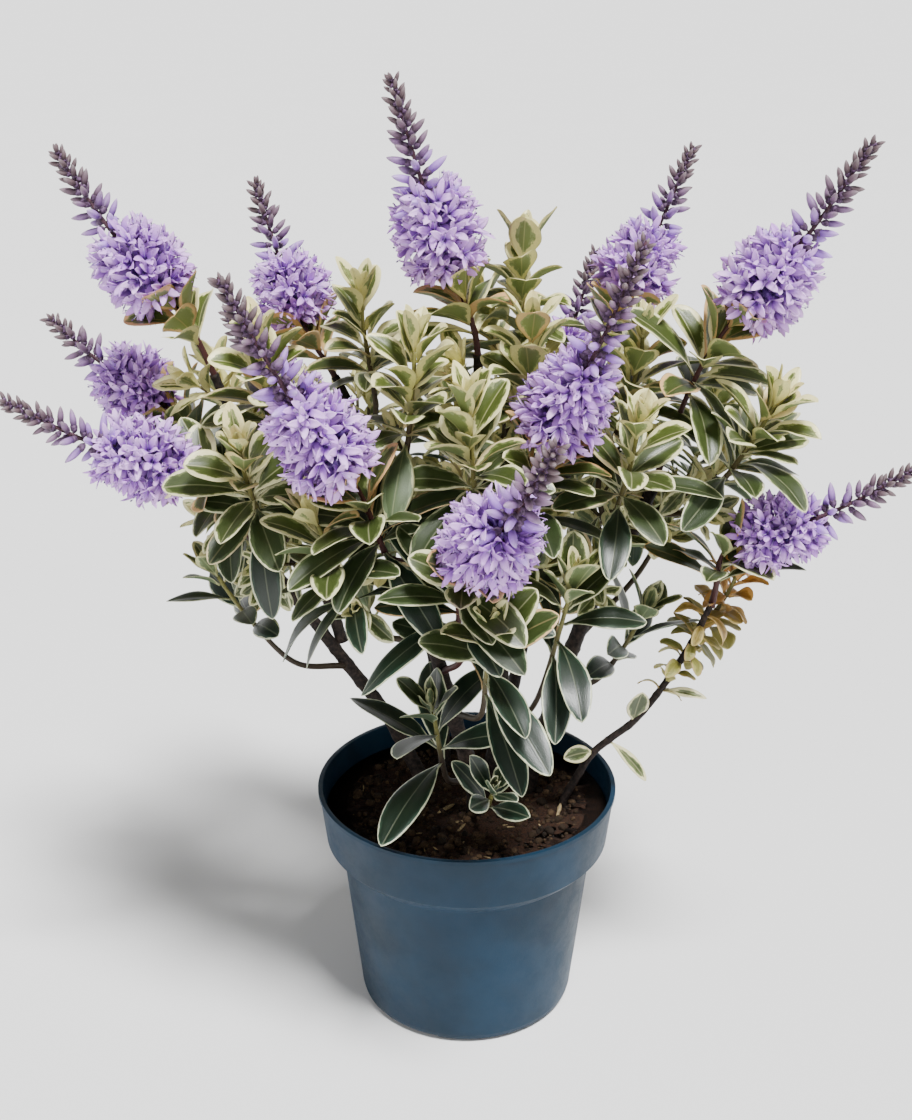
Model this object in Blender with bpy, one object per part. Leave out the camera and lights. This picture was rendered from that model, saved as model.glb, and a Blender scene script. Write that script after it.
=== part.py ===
"""Potted variegated hebe: nursery pot, compost, woody stems, leafy shoots and flower spikes.

Metres, +Z up. The origin is the centre of the pot's flat base, and the plant's front faces -Y.
"""
import math
import random

import bmesh
import bpy
from mathutils import Matrix, Vector
from mathutils.bvhtree import BVHTree

MM = 0.001

# Pot: driving dimensions
POT_HEIGHT = 103 * MM
RIM_RADIUS = 65 * MM            # outside of the lip
BASE_RADIUS = 47.6 * MM         # outside of the body where the bottom edge starts to round
WALL = 1.4 * MM
RIM_BAND_HEIGHT = 23.6 * MM     # the deep band below the lip
RIM_BAND_DRAFT = 3.2 * MM       # how much narrower the band is at its lower edge
BAND_STEP = 6.8 * MM            # how far the body stands in from the band's lower edge
STEP_HEIGHT = 7 * MM
LIP_HEIGHT = 1.6 * MM
LIP_PROUD = 0.6 * MM
BOTTOM_EDGE = 4 * MM            # radius of the rounded bottom edge
FOOT_WIDTH = 3.6 * MM           # ring that stands on the table, inside the rounded edge
CHANNEL_DEPTH = 3.2 * MM        # raised ring of the floor that drains to the notches
CHANNEL_WIDTH = 9 * MM
NOTCH_HEIGHT = 2.4 * MM
NOTCH_HALF_ANGLE = math.radians(20.5)
NOTCH_AZIMUTHS = [math.radians(angle) for angle in (-126, -6, 114)]
DRAIN_HOLE_RADIUS = 2.6 * MM
DRAIN_HOLES = 6
POT_SIDES = 40

# Compost
SOIL_BELOW_RIM = 12 * MM
SOIL_BUMP = 0.9 * MM
WATERING_HALF_WIDTH = 24 * MM   # room kept free of leaves above the compost, front and back
WATERING_FAR = 5 * MM           # its two sides, in from the rim
WATERING_NEAR = 17 * MM
FOOT_DEPTH = 16 * MM            # how deep each woody stem stands in the compost

# Plant: driving dimensions, and the size at which its points below are written
PLANT_HEIGHT = 306 * MM         # compost to the tip of the highest flower spike
PLANT_WIDTH = 355 * MM          # across the tips of the widest flower spikes
DRAWN_HEIGHT = 306 * MM
DRAWN_WIDTH = 355 * MM
LEAF_LENGTH = 43 * MM           # a full-grown leaf
LEAF_WIDTH = 13.5 * MM
LEAF_THICKNESS = 0.7 * MM
SPIKE_RADIUS = 19.5 * MM        # across the open flowers of a flower spike
SHOOT_WIDTH = 2.4 * MM          # square young stem
PAIR_SPACING = 8 * MM           # along a shoot, from one leaf pair to the next

# Fits
GAP = 0.35 * MM                 # between touching pieces
LEAF_CLEARANCE = 0.5 * MM       # around each leaf
ACROSS = PLANT_WIDTH / DRAWN_WIDTH
UP = PLANT_HEIGHT / DRAWN_HEIGHT
SOIL_TOP = POT_HEIGHT - SOIL_BELOW_RIM

STEM_SIDES = 8
SPIKE_SIDES = 8
NODE_HEIGHT = 2.6 * MM          # swollen part of a shoot that bears a leaf pair
PETIOLE = 3.2 * MM
PETIOLE_WIDTH = 2.6 * MM
LEAF_TIP_WIDTH = 1.7 * MM
WIDEST_AT = 0.6                 # share of the blade's length where it is widest

# Woody stems: millimetres across, back and above the compost; foot first. Radii in millimetres.
WOODY_STEMS = {
    "stem_front": ((4, -9, 3), (2, -16, 25), (-5, -22, 53), (-13, -30, 89), (-21, -32, 116), (-24, -33, 140),
                   3.8, 2.4),
    "stem_right": ((27, 11, 3), (36, 14, 35), (47, 16, 72), (60, 18, 104), (71, 18, 124), (78, 16, 145),
                   4.2, 2.6),
    "stem_left": ((-20, 15, 3), (-34, 22, 30), (-47, 25, 48), (-58, 25, 64), (-74, 21, 90), (-89, 14, 116),
                  3.4, 2.2),
    "stem_right_low": ((42, -4, 3), (54, -5, 28), (70, -6, 43), (82, -8, 61), (93, -10, 83), (100, -13, 103),
                       2.3, 1.6),
    "stem_centre": ((9, 8, 3), (13, 8, 30), (15, 7, 62), (11, 7, 118), (5, 9, 170), (4, 10, 200),
                    3.4, 1.9),
    "stem_back_left": ((-10, 31, 3), (-12, 40, 34), (-22, 52, 80), (-36, 60, 125), (-50, 66, 160), (-58, 68, 176),
                       3.0, 1.9),
    "stem_back_right": ((15, 33, 3), (22, 44, 38), (33, 56, 84), (44, 62, 130), (52, 64, 165), (57, 65, 182),
                        3.2, 1.9),
}
# A woody branch: parent, how far along it, its own points above the parent, and radii
WOODY_BRANCHES = {
    "branch_left_high": ("stem_left", 0.62, (-78, 24, 112), (-88, 24, 142), (-97, 20, 172), (-103, 18, 190),
                         2.4, 1.8),
}

# Flower spikes: base and tip, share of the length in open flower, and size against SPIKE_RADIUS
SPIKES = {
    "flower_spike_upper_left": ((-118, 14, 221), (-160, 22, 278), 0.46, 1.0),
    "flower_spike_mid_left": ((-129, 45, 169), (-180, 62, 204), 0.50, 0.95),
    "flower_spike_low_left": ((-109, -18, 160), (-175, -32, 193), 0.52, 0.92),
    "flower_spike_back_left": ((-71, 72, 198), (-93, 96, 257), 0.46, 0.95),
    "flower_spike_front_left": ((-43, -58, 171), (-84, -78, 248), 0.42, 1.0),
    "flower_spike_top": ((-5, 10, 231), (-29, 10, 306), 0.46, 1.0),
    "flower_spike_back_right": ((66, 66, 210), (98, 92, 272), 0.46, 0.95),
    "flower_spike_centre_right": ((29, -34, 177), (60, -62, 257), 0.42, 0.95),
    "flower_spike_front": ((0, -80, 146), (27, -132, 206), 0.50, 0.98),
    "flower_spike_upper_right": ((105, 6, 216), (151, -2, 284), 0.43, 1.0),
    "flower_spike_low_right": ((107, -16, 129), (173, -26, 164), 0.48, 0.85),
    "flower_spike_rear_left": ((-74, 100, 146), (-116, 134, 192), 0.48, 0.95),
    "flower_spike_rear_right": ((38, 104, 158), (62, 142, 218), 0.48, 0.95),
}
# Shoots below the spikes: spike, parent stem, how far along it, and leaf pairs
FLOWERING_SHOOTS = {
    "shoot_upper_left": ("flower_spike_upper_left", "branch_left_high", 1.0, 3),
    "shoot_mid_left": ("flower_spike_mid_left", "stem_left", 0.86, 5),
    "shoot_low_left": ("flower_spike_low_left", "stem_left", 1.0, 4),
    "shoot_back_left": ("flower_spike_back_left", "stem_back_left", 1.0, 3),
    "shoot_front_left": ("flower_spike_front_left", "stem_front", 0.93, 5),
    "shoot_top": ("flower_spike_top", "stem_centre", 1.0, 4),
    "shoot_back_right": ("flower_spike_back_right", "stem_back_right", 1.0, 3),
    "shoot_centre_right": ("flower_spike_centre_right", "stem_centre", 0.52, 5),
    "shoot_front": ("flower_spike_front", "stem_front", 0.62, 5),
    "shoot_upper_right": ("flower_spike_upper_right", "stem_right", 1.0, 5),
    "shoot_low_right": ("flower_spike_low_right", "stem_right_low", 1.0, 3),
    "shoot_rear_left": ("flower_spike_rear_left", "stem_back_left", 0.66, 5),
    "shoot_rear_right": ("flower_spike_rear_right", "stem_back_right", 0.66, 5),
}
# Leafy shoots without flowers: parent stem, how far along it, tip, leaf pairs and leaf size
LEAFY_SHOOTS = {
    "shoot_crown_left": ("branch_left_high", 0.45, (-80, -14, 208), 5, 0.92),
    "shoot_left_front": ("stem_left", 0.93, (-84, -48, 176), 5, 0.95),
    "shoot_crown_front": ("stem_front", 1.0, (-20, -34, 212), 5, 0.92),
    "shoot_centre_front": ("stem_centre", 0.40, (0, -58, 196), 5, 0.92),
    "shoot_crown_centre": ("stem_centre", 0.80, (22, 26, 238), 5, 0.9),
    "shoot_crown_middle": ("stem_centre", 0.66, (24, -12, 214), 5, 0.9),
    "shoot_crown_right": ("stem_right", 0.80, (70, 14, 206), 5, 0.95),
    "shoot_right_inner": ("stem_right", 0.70, (64, -32, 182), 5, 0.95),
    "shoot_right_outer": ("stem_right", 0.92, (118, -16, 186), 5, 1.0),
    "shoot_right_back": ("stem_right", 0.55, (108, 52, 168), 5, 0.95),
    "shoot_crown_back_left": ("stem_back_left", 0.86, (-44, 44, 214), 5, 0.9),
    "shoot_crown_back": ("stem_back_right", 0.80, (6, 60, 212), 5, 0.92),
    "shoot_rear_middle": ("stem_back_right", 0.40, (-10, 98, 160), 5, 0.95),
    "shoot_rear_outer": ("stem_back_right", 0.55, (82, 82, 156), 5, 0.95),
    "shoot_front_low_left": ("stem_front", 0.72, (-56, -56, 152), 5, 0.95),
    "shoot_front_centre": ("stem_front", 0.48, (8, -80, 118), 5, 1.05),
    "shoot_front_right": ("stem_centre", 0.26, (40, -42, 122), 5, 0.95),
    "shoot_pot_front": ("stem_front", 0.25, (-14, -40, 66), 4, 1.15),
    "shoot_soil": ("stem_front", 0.17, (10, -42, 30), 2, 0.72),
    "shoot_left_low": ("stem_left", 0.55, (-104, 2, 108), 4, 0.8),
    "shoot_right_low_inner": ("stem_right", 0.42, (74, 0, 92), 4, 0.85),
    "shoot_wilted": ("stem_right_low", 0.72, (112, -2, 112), 5, 0.55),
}


def plant_point(across, back, above):
    """A point of the plant from its drawn millimetres, above the compost."""
    return Vector((across * MM * ACROSS, back * MM * ACROSS, SOIL_TOP + above * MM * UP))


def smooth_path(points, steps):
    """A Catmull-Rom curve through the points, with a number of steps between each two."""
    ends = [points[0] * 2 - points[1]] + points + [points[-1] * 2 - points[-2]]
    path = []
    for a, b, c, d in zip(ends, ends[1:], ends[2:], ends[3:]):
        for step in range(steps):
            t = step / steps
            path.append(0.5 * (2 * b + (c - a) * t + (2 * a - 5 * b + 4 * c - d) * t * t
                               + (3 * b - a - 3 * c + d) * t ** 3))
    path.append(points[-1].copy())
    return path


def path_lengths(path):
    lengths = [0.0]
    for a, b in zip(path, path[1:]):
        lengths.append(lengths[-1] + (b - a).length)
    return lengths


def point_along(path, share):
    """The point and direction at a share of a path's length."""
    lengths = path_lengths(path)
    wanted = share * lengths[-1]
    for index in range(len(path) - 1):
        if wanted <= lengths[index + 1] or index == len(path) - 2:
            span = lengths[index + 1] - lengths[index]
            t = (wanted - lengths[index]) / span
            return path[index].lerp(path[index + 1], t), (path[index + 1] - path[index]).normalized()


def path_frames(path, first_side):
    """At each point of a path, its direction and two sides that don't twist along it."""
    frames = []
    side = first_side
    for index, point in enumerate(path):
        before = path[max(index - 1, 0)]
        after = path[min(index + 1, len(path) - 1)]
        along = (after - before).normalized()
        side = (side - along * side.dot(along)).normalized()
        frames.append((point, along, side, along.cross(side)))
    return frames


def ring(frame, radius, sides, turn=0.0):
    """Corners of a regular ring around a frame."""
    centre, _, side, across = frame
    angles = [turn + 2 * math.pi * index / sides for index in range(sides)]
    return [centre + (side * math.cos(angle) + across * math.sin(angle)) * radius for angle in angles]


def extrude_face(bm, face, corners):
    """Extrude one face and move its corners, in order, to the given points."""
    new_face = bmesh.ops.extrude_discrete_faces(bm, faces=[face])["faces"][0]
    for vert, corner in zip(new_face.verts, corners):
        vert.co = corner
    return new_face


def prism(bm, rings):
    """A closed body through rings of corners, each ring counter-clockwise seen from the far end."""
    levels = [[bm.verts.new(corner) for corner in corners] for corners in rings[:2]]
    bm.faces.new(list(reversed(levels[0])))
    count = len(levels[0])
    for index in range(count):
        after = (index + 1) % count
        bm.faces.new((levels[0][index], levels[0][after], levels[1][after], levels[1][index]))
    cap = bm.faces.new(levels[1])
    for corners in rings[2:]:
        cap = extrude_face(bm, cap, corners)
    return cap


def body_tree(bm):
    """What an overlap test needs from a body: its faces and its box."""
    low = Vector(min(vert.co[axis] for vert in bm.verts) for axis in range(3))
    high = Vector(max(vert.co[axis] for vert in bm.verts) for axis in range(3))
    return BVHTree.FromBMesh(bm), low, high


def touches(trial, others):
    """Whether the faces of a trial body meet those of any other."""
    tree, low, high = trial
    for other_tree, other_low, other_high in others:
        apart = any(low[axis] > other_high[axis] or high[axis] < other_low[axis] for axis in range(3))
        if not apart and tree.overlap(other_tree):
            return True
    return False


def swept_tree(path, radii, sides, spare):
    """An overlap body around a path, larger than the real one by a spare width."""
    bm = bmesh.new()
    frames = path_frames(path, any_side(path))
    prism(bm, [ring(frame, radius + spare, sides) for frame, radius in zip(frames, radii)])
    tree = body_tree(bm)
    bm.free()
    return tree


def any_side(path):
    """A side direction square to a path's start, and away from the pot's axis where it can be."""
    along = (path[1] - path[0]).normalized()
    outward = Vector((path[-1].x, path[-1].y, 0))
    side = outward - along * outward.dot(along)
    if side.length < 0.05 * outward.length or outward.length < MM:
        side = along.orthogonal()
    return side.normalized()


def finish_object(name, bm, colour, roughness, smooth_angle):
    """Turn a finished bmesh into a named object with a material of its own."""
    bmesh.ops.recalc_face_normals(bm, faces=bm.faces)
    mesh = bpy.data.meshes.new(name)
    bm.to_mesh(mesh)
    bm.free()
    mesh.shade_smooth()
    mesh.set_sharp_from_angle(angle=math.radians(smooth_angle))
    material = bpy.data.materials.new(name)
    material.use_nodes = True
    shader = material.node_tree.nodes["Principled BSDF"]
    shader.inputs["Base Color"].default_value = (*colour, 1)
    shader.inputs["Roughness"].default_value = roughness
    shader.inputs["Metallic"].default_value = 0
    mesh.materials.append(material)
    item = bpy.data.objects.new(name, mesh)
    bpy.context.scene.collection.objects.link(item)
    return item


def cutter_object(name, bm):
    """A guide that only cuts other objects."""
    item = finish_object(name, bm, (1, 0, 0), 0.5, 30)
    item.hide_render = True
    item.display_type = "WIRE"
    return item


def cut(item, cutter):
    modifier = item.modifiers.new("cut_" + cutter.name, "BOOLEAN")
    modifier.operation = "DIFFERENCE"
    modifier.solver = "EXACT"
    modifier.object = cutter


def lathe(bm, profile):
    """Turn a profile of (radius, height), which starts and ends on the axis, about +Z."""
    verts = [bm.verts.new((radius, 0, height)) for radius, height in profile]
    edges = [bm.edges.new(pair) for pair in zip(verts, verts[1:])]
    bmesh.ops.spin(bm, geom=verts + edges, cent=(0, 0, 0), axis=(0, 0, 1), angle=2 * math.pi,
                   steps=POT_SIDES, use_merge=True)
    bmesh.ops.remove_doubles(bm, verts=bm.verts, dist=0.0001 * MM)


# Pot and compost

def body_radius(height):
    """Outside of the pot's tapered body below the band."""
    shoulder = POT_HEIGHT - RIM_BAND_HEIGHT - STEP_HEIGHT
    top_radius = RIM_RADIUS - RIM_BAND_DRAFT - BAND_STEP
    return BASE_RADIUS + (top_radius - BASE_RADIUS) * (height - BOTTOM_EDGE) / (shoulder - BOTTOM_EDGE)


def pot_outside():
    """Outer profile from the rounded bottom edge up to the lip."""
    band_low = POT_HEIGHT - RIM_BAND_HEIGHT
    shoulder = band_low - STEP_HEIGHT
    band_radius = RIM_RADIUS - RIM_BAND_DRAFT
    edge_centre = BASE_RADIUS - BOTTOM_EDGE
    profile = []
    for degrees in (-90, -60, -30):
        angle = math.radians(degrees)
        profile.append((edge_centre + BOTTOM_EDGE * math.cos(angle), BOTTOM_EDGE * (1 + math.sin(angle))))
    profile += [(body_radius(BOTTOM_EDGE), BOTTOM_EDGE), (body_radius(shoulder), shoulder),
                (band_radius - 0.45 * BAND_STEP, shoulder + 0.5 * STEP_HEIGHT),
                (band_radius, band_low), (RIM_RADIUS - LIP_PROUD, POT_HEIGHT - LIP_HEIGHT),
                (RIM_RADIUS, POT_HEIGHT - LIP_HEIGHT), (RIM_RADIUS, POT_HEIGHT)]
    return profile


def pot_inside():
    """Inner profile from the lip down to the edge of the floor."""
    band_low = POT_HEIGHT - RIM_BAND_HEIGHT
    shoulder = band_low - STEP_HEIGHT
    band_radius = RIM_RADIUS - RIM_BAND_DRAFT
    floor = CHANNEL_DEPTH + WALL
    return [(RIM_RADIUS - LIP_PROUD - WALL, POT_HEIGHT), (band_radius - WALL, band_low - 0.3 * WALL),
            (band_radius - 0.45 * BAND_STEP - WALL, shoulder + 0.5 * STEP_HEIGHT - 0.3 * WALL),
            (body_radius(shoulder) - WALL, shoulder - 0.3 * WALL), (body_radius(floor) - WALL, floor)]


def floor_radii():
    """Inner and outer radius of the floor's raised drain ring, at the underside."""
    outer = BASE_RADIUS - BOTTOM_EDGE - FOOT_WIDTH
    return outer - CHANNEL_WIDTH, outer


def build_pot():
    inner, outer = floor_radii()
    slope = 0.25 * CHANNEL_DEPTH
    underside = [(0, 0), (inner, 0), (inner + slope, CHANNEL_DEPTH), (outer - slope, CHANNEL_DEPTH), (outer, 0)]
    floor = [(inner - 0.5 * WALL, CHANNEL_DEPTH + WALL), (inner - 0.5 * WALL - slope, WALL), (0, WALL)]
    bm = bmesh.new()
    lathe(bm, underside + pot_outside() + pot_inside() + floor)
    pot = finish_object("pot", bm, (0.045, 0.105, 0.16), 0.42, 32)
    cut(pot, drain_cutter(outer))
    return pot


def drain_cutter(foot_inner):
    """Wedges that open the foot ring, and round holes through the raised drain ring."""
    bm = bmesh.new()
    below = -2 * MM
    for azimuth in NOTCH_AZIMUTHS:
        corners = []
        for turn in (-1, -0.5, 0, 0.5, 1):
            angle = azimuth + turn * NOTCH_HALF_ANGLE
            corners.append(Vector((math.cos(angle), math.sin(angle), 0)))
        reach = [corner * (BASE_RADIUS + 6 * MM) for corner in corners]
        back = [corner * (foot_inner - 0.6 * MM) for corner in reversed(corners)]
        outline = reach + back
        low = [corner + Vector((0, 0, below)) for corner in outline]
        high = [corner + Vector((0, 0, NOTCH_HEIGHT)) for corner in outline]
        prism(bm, [low, high])
    hole_at = foot_inner - 0.5 * CHANNEL_WIDTH
    for index in range(DRAIN_HOLES):
        angle = NOTCH_AZIMUTHS[0] + 2 * math.pi * index / DRAIN_HOLES
        centre = Vector((hole_at * math.cos(angle), hole_at * math.sin(angle), 0))
        rings = []
        for height in (CHANNEL_DEPTH - MM, CHANNEL_DEPTH + WALL + MM):
            frame = (centre + Vector((0, 0, height)), None, Vector((1, 0, 0)), Vector((0, 1, 0)))
            rings.append(ring(frame, DRAIN_HOLE_RADIUS, 10))
        prism(bm, rings)
    return cutter_object("drain_cutter", bm)


def soil_height(x, y):
    """The compost's uneven top."""
    across, back = x / MM, y / MM
    wave = math.sin(0.21 * across + 1.3) * math.cos(0.17 * back - 0.4) + 0.5 * math.sin(0.37 * back + 0.11 * across)
    return SOIL_TOP + SOIL_BUMP * wave


def build_soil(stem_cutter):
    """Compost that fills the pot, with a hole for each woody stem's foot."""
    inner, _ = floor_radii()
    wall = [(radius - GAP, height + GAP) for radius, height in reversed(pot_inside())]
    wall = [point for point in wall if point[1] < SOIL_TOP]
    low_wall, high_wall = pot_inside()[1], pot_inside()[0]
    share = (SOIL_TOP - low_wall[1]) / (high_wall[1] - low_wall[1])
    top_radius = low_wall[0] + share * (high_wall[0] - low_wall[0]) - GAP
    raised = inner - 0.5 * WALL - 0.25 * CHANNEL_DEPTH
    bottom = [(0, WALL + GAP), (raised - GAP, WALL + GAP), (raised + 0.25 * CHANNEL_DEPTH - GAP, wall[0][1])]
    top = [(share * top_radius, SOIL_TOP) for share in (1, 0.86, 0.66, 0.44, 0.22, 0)]
    bm = bmesh.new()
    lathe(bm, bottom + wall + top)
    for vert in bm.verts:
        if vert.co.z > SOIL_TOP - 0.1 * MM:
            vert.co.z = soil_height(vert.co.x, vert.co.y)
    soil = finish_object("soil", bm, (0.045, 0.028, 0.02), 0.95, 60)
    cut(soil, stem_cutter)
    return soil


# Woody stems

def tapered(count, first, last):
    return [first + (last - first) * index / (count - 1) for index in range(count)]


def woody_paths():
    """Path and radii of each woody stem, its foot straight down in the compost."""
    stems = {}
    for name, (*points, first, last) in WOODY_STEMS.items():
        above = [plant_point(*point) for point in points]
        path = smooth_path(above, 2)
        foot = above[0].copy()
        foot.z = SOIL_TOP - FOOT_DEPTH
        path = [foot] + path
        stems[name] = (path, tapered(len(path), first * MM, last * MM))
    for name, (parent, share, *points, first, last) in WOODY_BRANCHES.items():
        above = [plant_point(*point) for point in points]
        parent_path, parent_radii = stems[parent]
        path = side_path(parent_path, radius_along(parent_radii, share) + first * MM, share, above[0], 0.0)
        path = smooth_path([path[0], path[len(path) // 2]] + above, 2)
        stems[name] = (path, tapered(len(path), first * MM, last * MM))
    return stems


def radius_along(radii, share):
    return radii[0] + (radii[-1] - radii[0]) * share


def side_path(parent_path, start_gap, share, tip, bow, arriving=None):
    """A curve from a parent's side, or its end at share 1, to a tip that it reaches in a direction."""
    start, along = point_along(parent_path, share)
    reach = tip - start
    if share >= 1:
        first = start + along * GAP
        leaving = along
    else:
        leaving = (reach - along * reach.dot(along)).normalized()
        first = start + leaving * (start_gap + GAP)
    distance = (tip - first).length
    side = leaving.cross(Vector((0, 0, 1)))
    if arriving is None:
        arriving = (reach.normalized() * 0.55 + Vector((0, 0, 0.45))).normalized()
    second = first + leaving * 0.3 * distance + side * bow * distance
    third = tip - arriving * 0.36 * distance
    return bezier_path([first, second, third, tip], 12)


def bezier_path(points, steps):
    a, b, c, d = points
    path = []
    for step in range(steps + 1):
        t = step / steps
        u = 1 - t
        path.append(a * u ** 3 + b * 3 * u * u * t + c * 3 * u * t * t + d * t ** 3)
    return path


def build_stem(name, path, radii):
    bm = bmesh.new()
    frames = path_frames(path, any_side(path))
    prism(bm, [ring(frame, radius, STEM_SIDES) for frame, radius in zip(frames, radii)])
    tree = body_tree(bm)
    finish_object(name, bm, (0.07, 0.04, 0.03), 0.75, 50)
    return tree


def foot_cutter(stems):
    """Clearance holes in the compost around every woody stem's foot."""
    bm = bmesh.new()
    for name in WOODY_STEMS:
        path, radii = stems[name]
        hole = [path[0] - Vector((0, 0, GAP)), path[1] + Vector((0, 0, 6 * MM))]
        frames = path_frames(path, any_side(path))
        _, along, side, across = frames[0]
        rings = []
        for point in hole:
            rings.append(ring((point, along, side, across), radii[0] + GAP / math.cos(math.pi / STEM_SIDES),
                              STEM_SIDES))
        prism(bm, rings)
    return cutter_object("stem_foot_cutter", bm)


# Flower spikes

def spike_path(base, tip):
    """A slightly bowed line from the foot of a spike to its tip."""
    first = plant_point(*base)
    last = plant_point(*tip)
    reach = last - first
    bow = Vector((0, 0, 1)) - reach.normalized() * reach.normalized().z
    middle = first.lerp(last, 0.5) - bow * 0.045 * reach.length
    return smooth_path([first, middle, last], 12)


def spike_profile(open_share, size):
    """Share of the length and radius: stalk, open flowers, then the tapering buds."""
    full = SPIKE_RADIUS * size
    stalk = 1.5 * MM
    open_from = 0.03
    return [(0, stalk), (open_from, stalk), (open_from + 0.03, 0.7 * full), (open_from + 0.3 * open_share, full),
            (open_from + 0.75 * open_share, 0.88 * full), (open_from + open_share, 0.6 * full),
            (open_from + open_share + 0.1, 0.38 * full), (0.9, 0.19 * full), (1, 0.07 * full)]


def build_spike(name, base, tip, open_share, size):
    path = spike_path(base, tip)
    bm = bmesh.new()
    rings = []
    frames = path_frames(path, any_side(path))
    for share, radius in spike_profile(open_share, size):
        centre, along = point_along(path, share)
        nearest = frames[round(share * (len(frames) - 1))]
        side = (nearest[2] - along * nearest[2].dot(along)).normalized()
        rings.append(ring((centre, along, side, along.cross(side)), radius, SPIKE_SIDES))
    prism(bm, rings)
    tree = body_tree(bm)
    finish_object(name, bm, (0.42, 0.33, 0.72), 0.6, 40)
    return tree


# Leafy shoots

class Shoot:
    """A young square stem with crossed pairs of leaves, grown as one body."""

    def __init__(self, name, path, pairs, size):
        self.name = name
        self.path = path
        self.pairs = pairs
        self.size = size
        self.random = random.Random(name)
        self.leaf_trees = []
        self.node_faces = []
        self.bm = bmesh.new()
        self.grow_stem()

    def grow_stem(self):
        """Square stem with a short swollen length at each leaf pair."""
        frames = path_frames(self.path, any_side(self.path))
        length = path_lengths(self.path)[-1]
        spacing = min(PAIR_SPACING, (length - 6 * MM) / self.pairs)
        nodes = [length - 1.2 * MM - spacing * (index + 0.35) for index in reversed(range(self.pairs))]
        stations = [(0, 0.85)]
        if nodes[0] > 24 * MM:
            stations.append((0.5 * nodes[0], 0.85))
        for node in nodes:
            stations.append((node - 0.5 * NODE_HEIGHT, 0.9))
            stations.append((node + 0.5 * NODE_HEIGHT, 1.0))
        stations.append((length, 0.75))
        rings = []
        for distance, width in stations:
            share = distance / length
            centre, along = point_along(self.path, share)
            nearest = frames[round(share * (len(frames) - 1))]
            side = (nearest[2] - along * nearest[2].dot(along)).normalized()
            half = 0.5 * math.sqrt(2) * SHOOT_WIDTH * width
            rings.append(ring((centre, along, side, along.cross(side)), half, 4, math.pi / 4))
        self.nodes = [point_along(self.path, node / length) for node in nodes]
        prism(self.bm, rings)
        self.stem_tree = body_tree(self.bm)
        self.bm.faces.ensure_lookup_table()
        for node, (centre, along) in enumerate(self.nodes):
            self.node_faces.append(self.side_faces(centre, along))

    def side_faces(self, centre, along):
        """The four faces around one node, in turn around the stem."""
        near = []
        for face in self.bm.faces:
            offset = face.calc_center_median() - centre
            face.normal_update()
            is_side = abs(face.normal.dot(along)) < 0.5
            if is_side and abs(offset.dot(along)) < 0.1 * NODE_HEIGHT and offset.length < 2 * SHOOT_WIDTH:
                near.append(face)
        first = near[0].normal.copy()
        second = along.cross(first)
        return sorted(near, key=lambda face: math.atan2(face.normal.dot(second), face.normal.dot(first)) % 6.2)

    def grow_leaves(self, others):
        """Grow the leaf pairs from the top down, each leaf where it is clear of everything else."""
        for from_top in range(self.pairs):
            node = self.pairs - 1 - from_top
            centre, along = self.nodes[node]
            faces = self.node_faces[node]
            for face in (faces[node % 2], faces[node % 2 + 2]):
                self.grow_leaf(face, along, from_top, others)

    def grow_leaf(self, face, along, from_top, others):
        young = 0.62 + 0.38 * min(1, from_top / 3)
        young *= self.random.uniform(0.9, 1.1)
        tilt = math.radians(min(30 + 13 * from_top, 82) + self.random.uniform(-8, 8))
        droop = math.radians(18 + 6 * min(from_top, 3) + self.random.uniform(-12, 12))
        swing = self.random.uniform(-13, 13)
        for shorter in (1, 0.86, 0.72):
            for turn in (0, 14, -14, 28, -28):
                for lean in (0, -12, 12, 24, -24):
                    length = LEAF_LENGTH * self.size * young * shorter
                    width = LEAF_WIDTH * self.size * (0.8 + 0.2 * young) * (0.5 + 0.5 * shorter)
                    leaf = Leaf(face, along, length, width, tilt + math.radians(lean), droop,
                                math.radians(turn + swing))
                    whole = leaf.tree(LEAF_CLEARANCE, True)
                    blade = leaf.tree(LEAF_CLEARANCE, False)
                    own = [self.stem_tree]
                    if not touches(whole, others + self.leaf_trees) and not touches(blade, own):
                        leaf.extrude(self.bm, face)
                        self.leaf_trees.append(leaf.tree(0, True))
                        return

    def finish(self, colour):
        finish_object(self.name, self.bm, colour, 0.4, 40)


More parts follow.
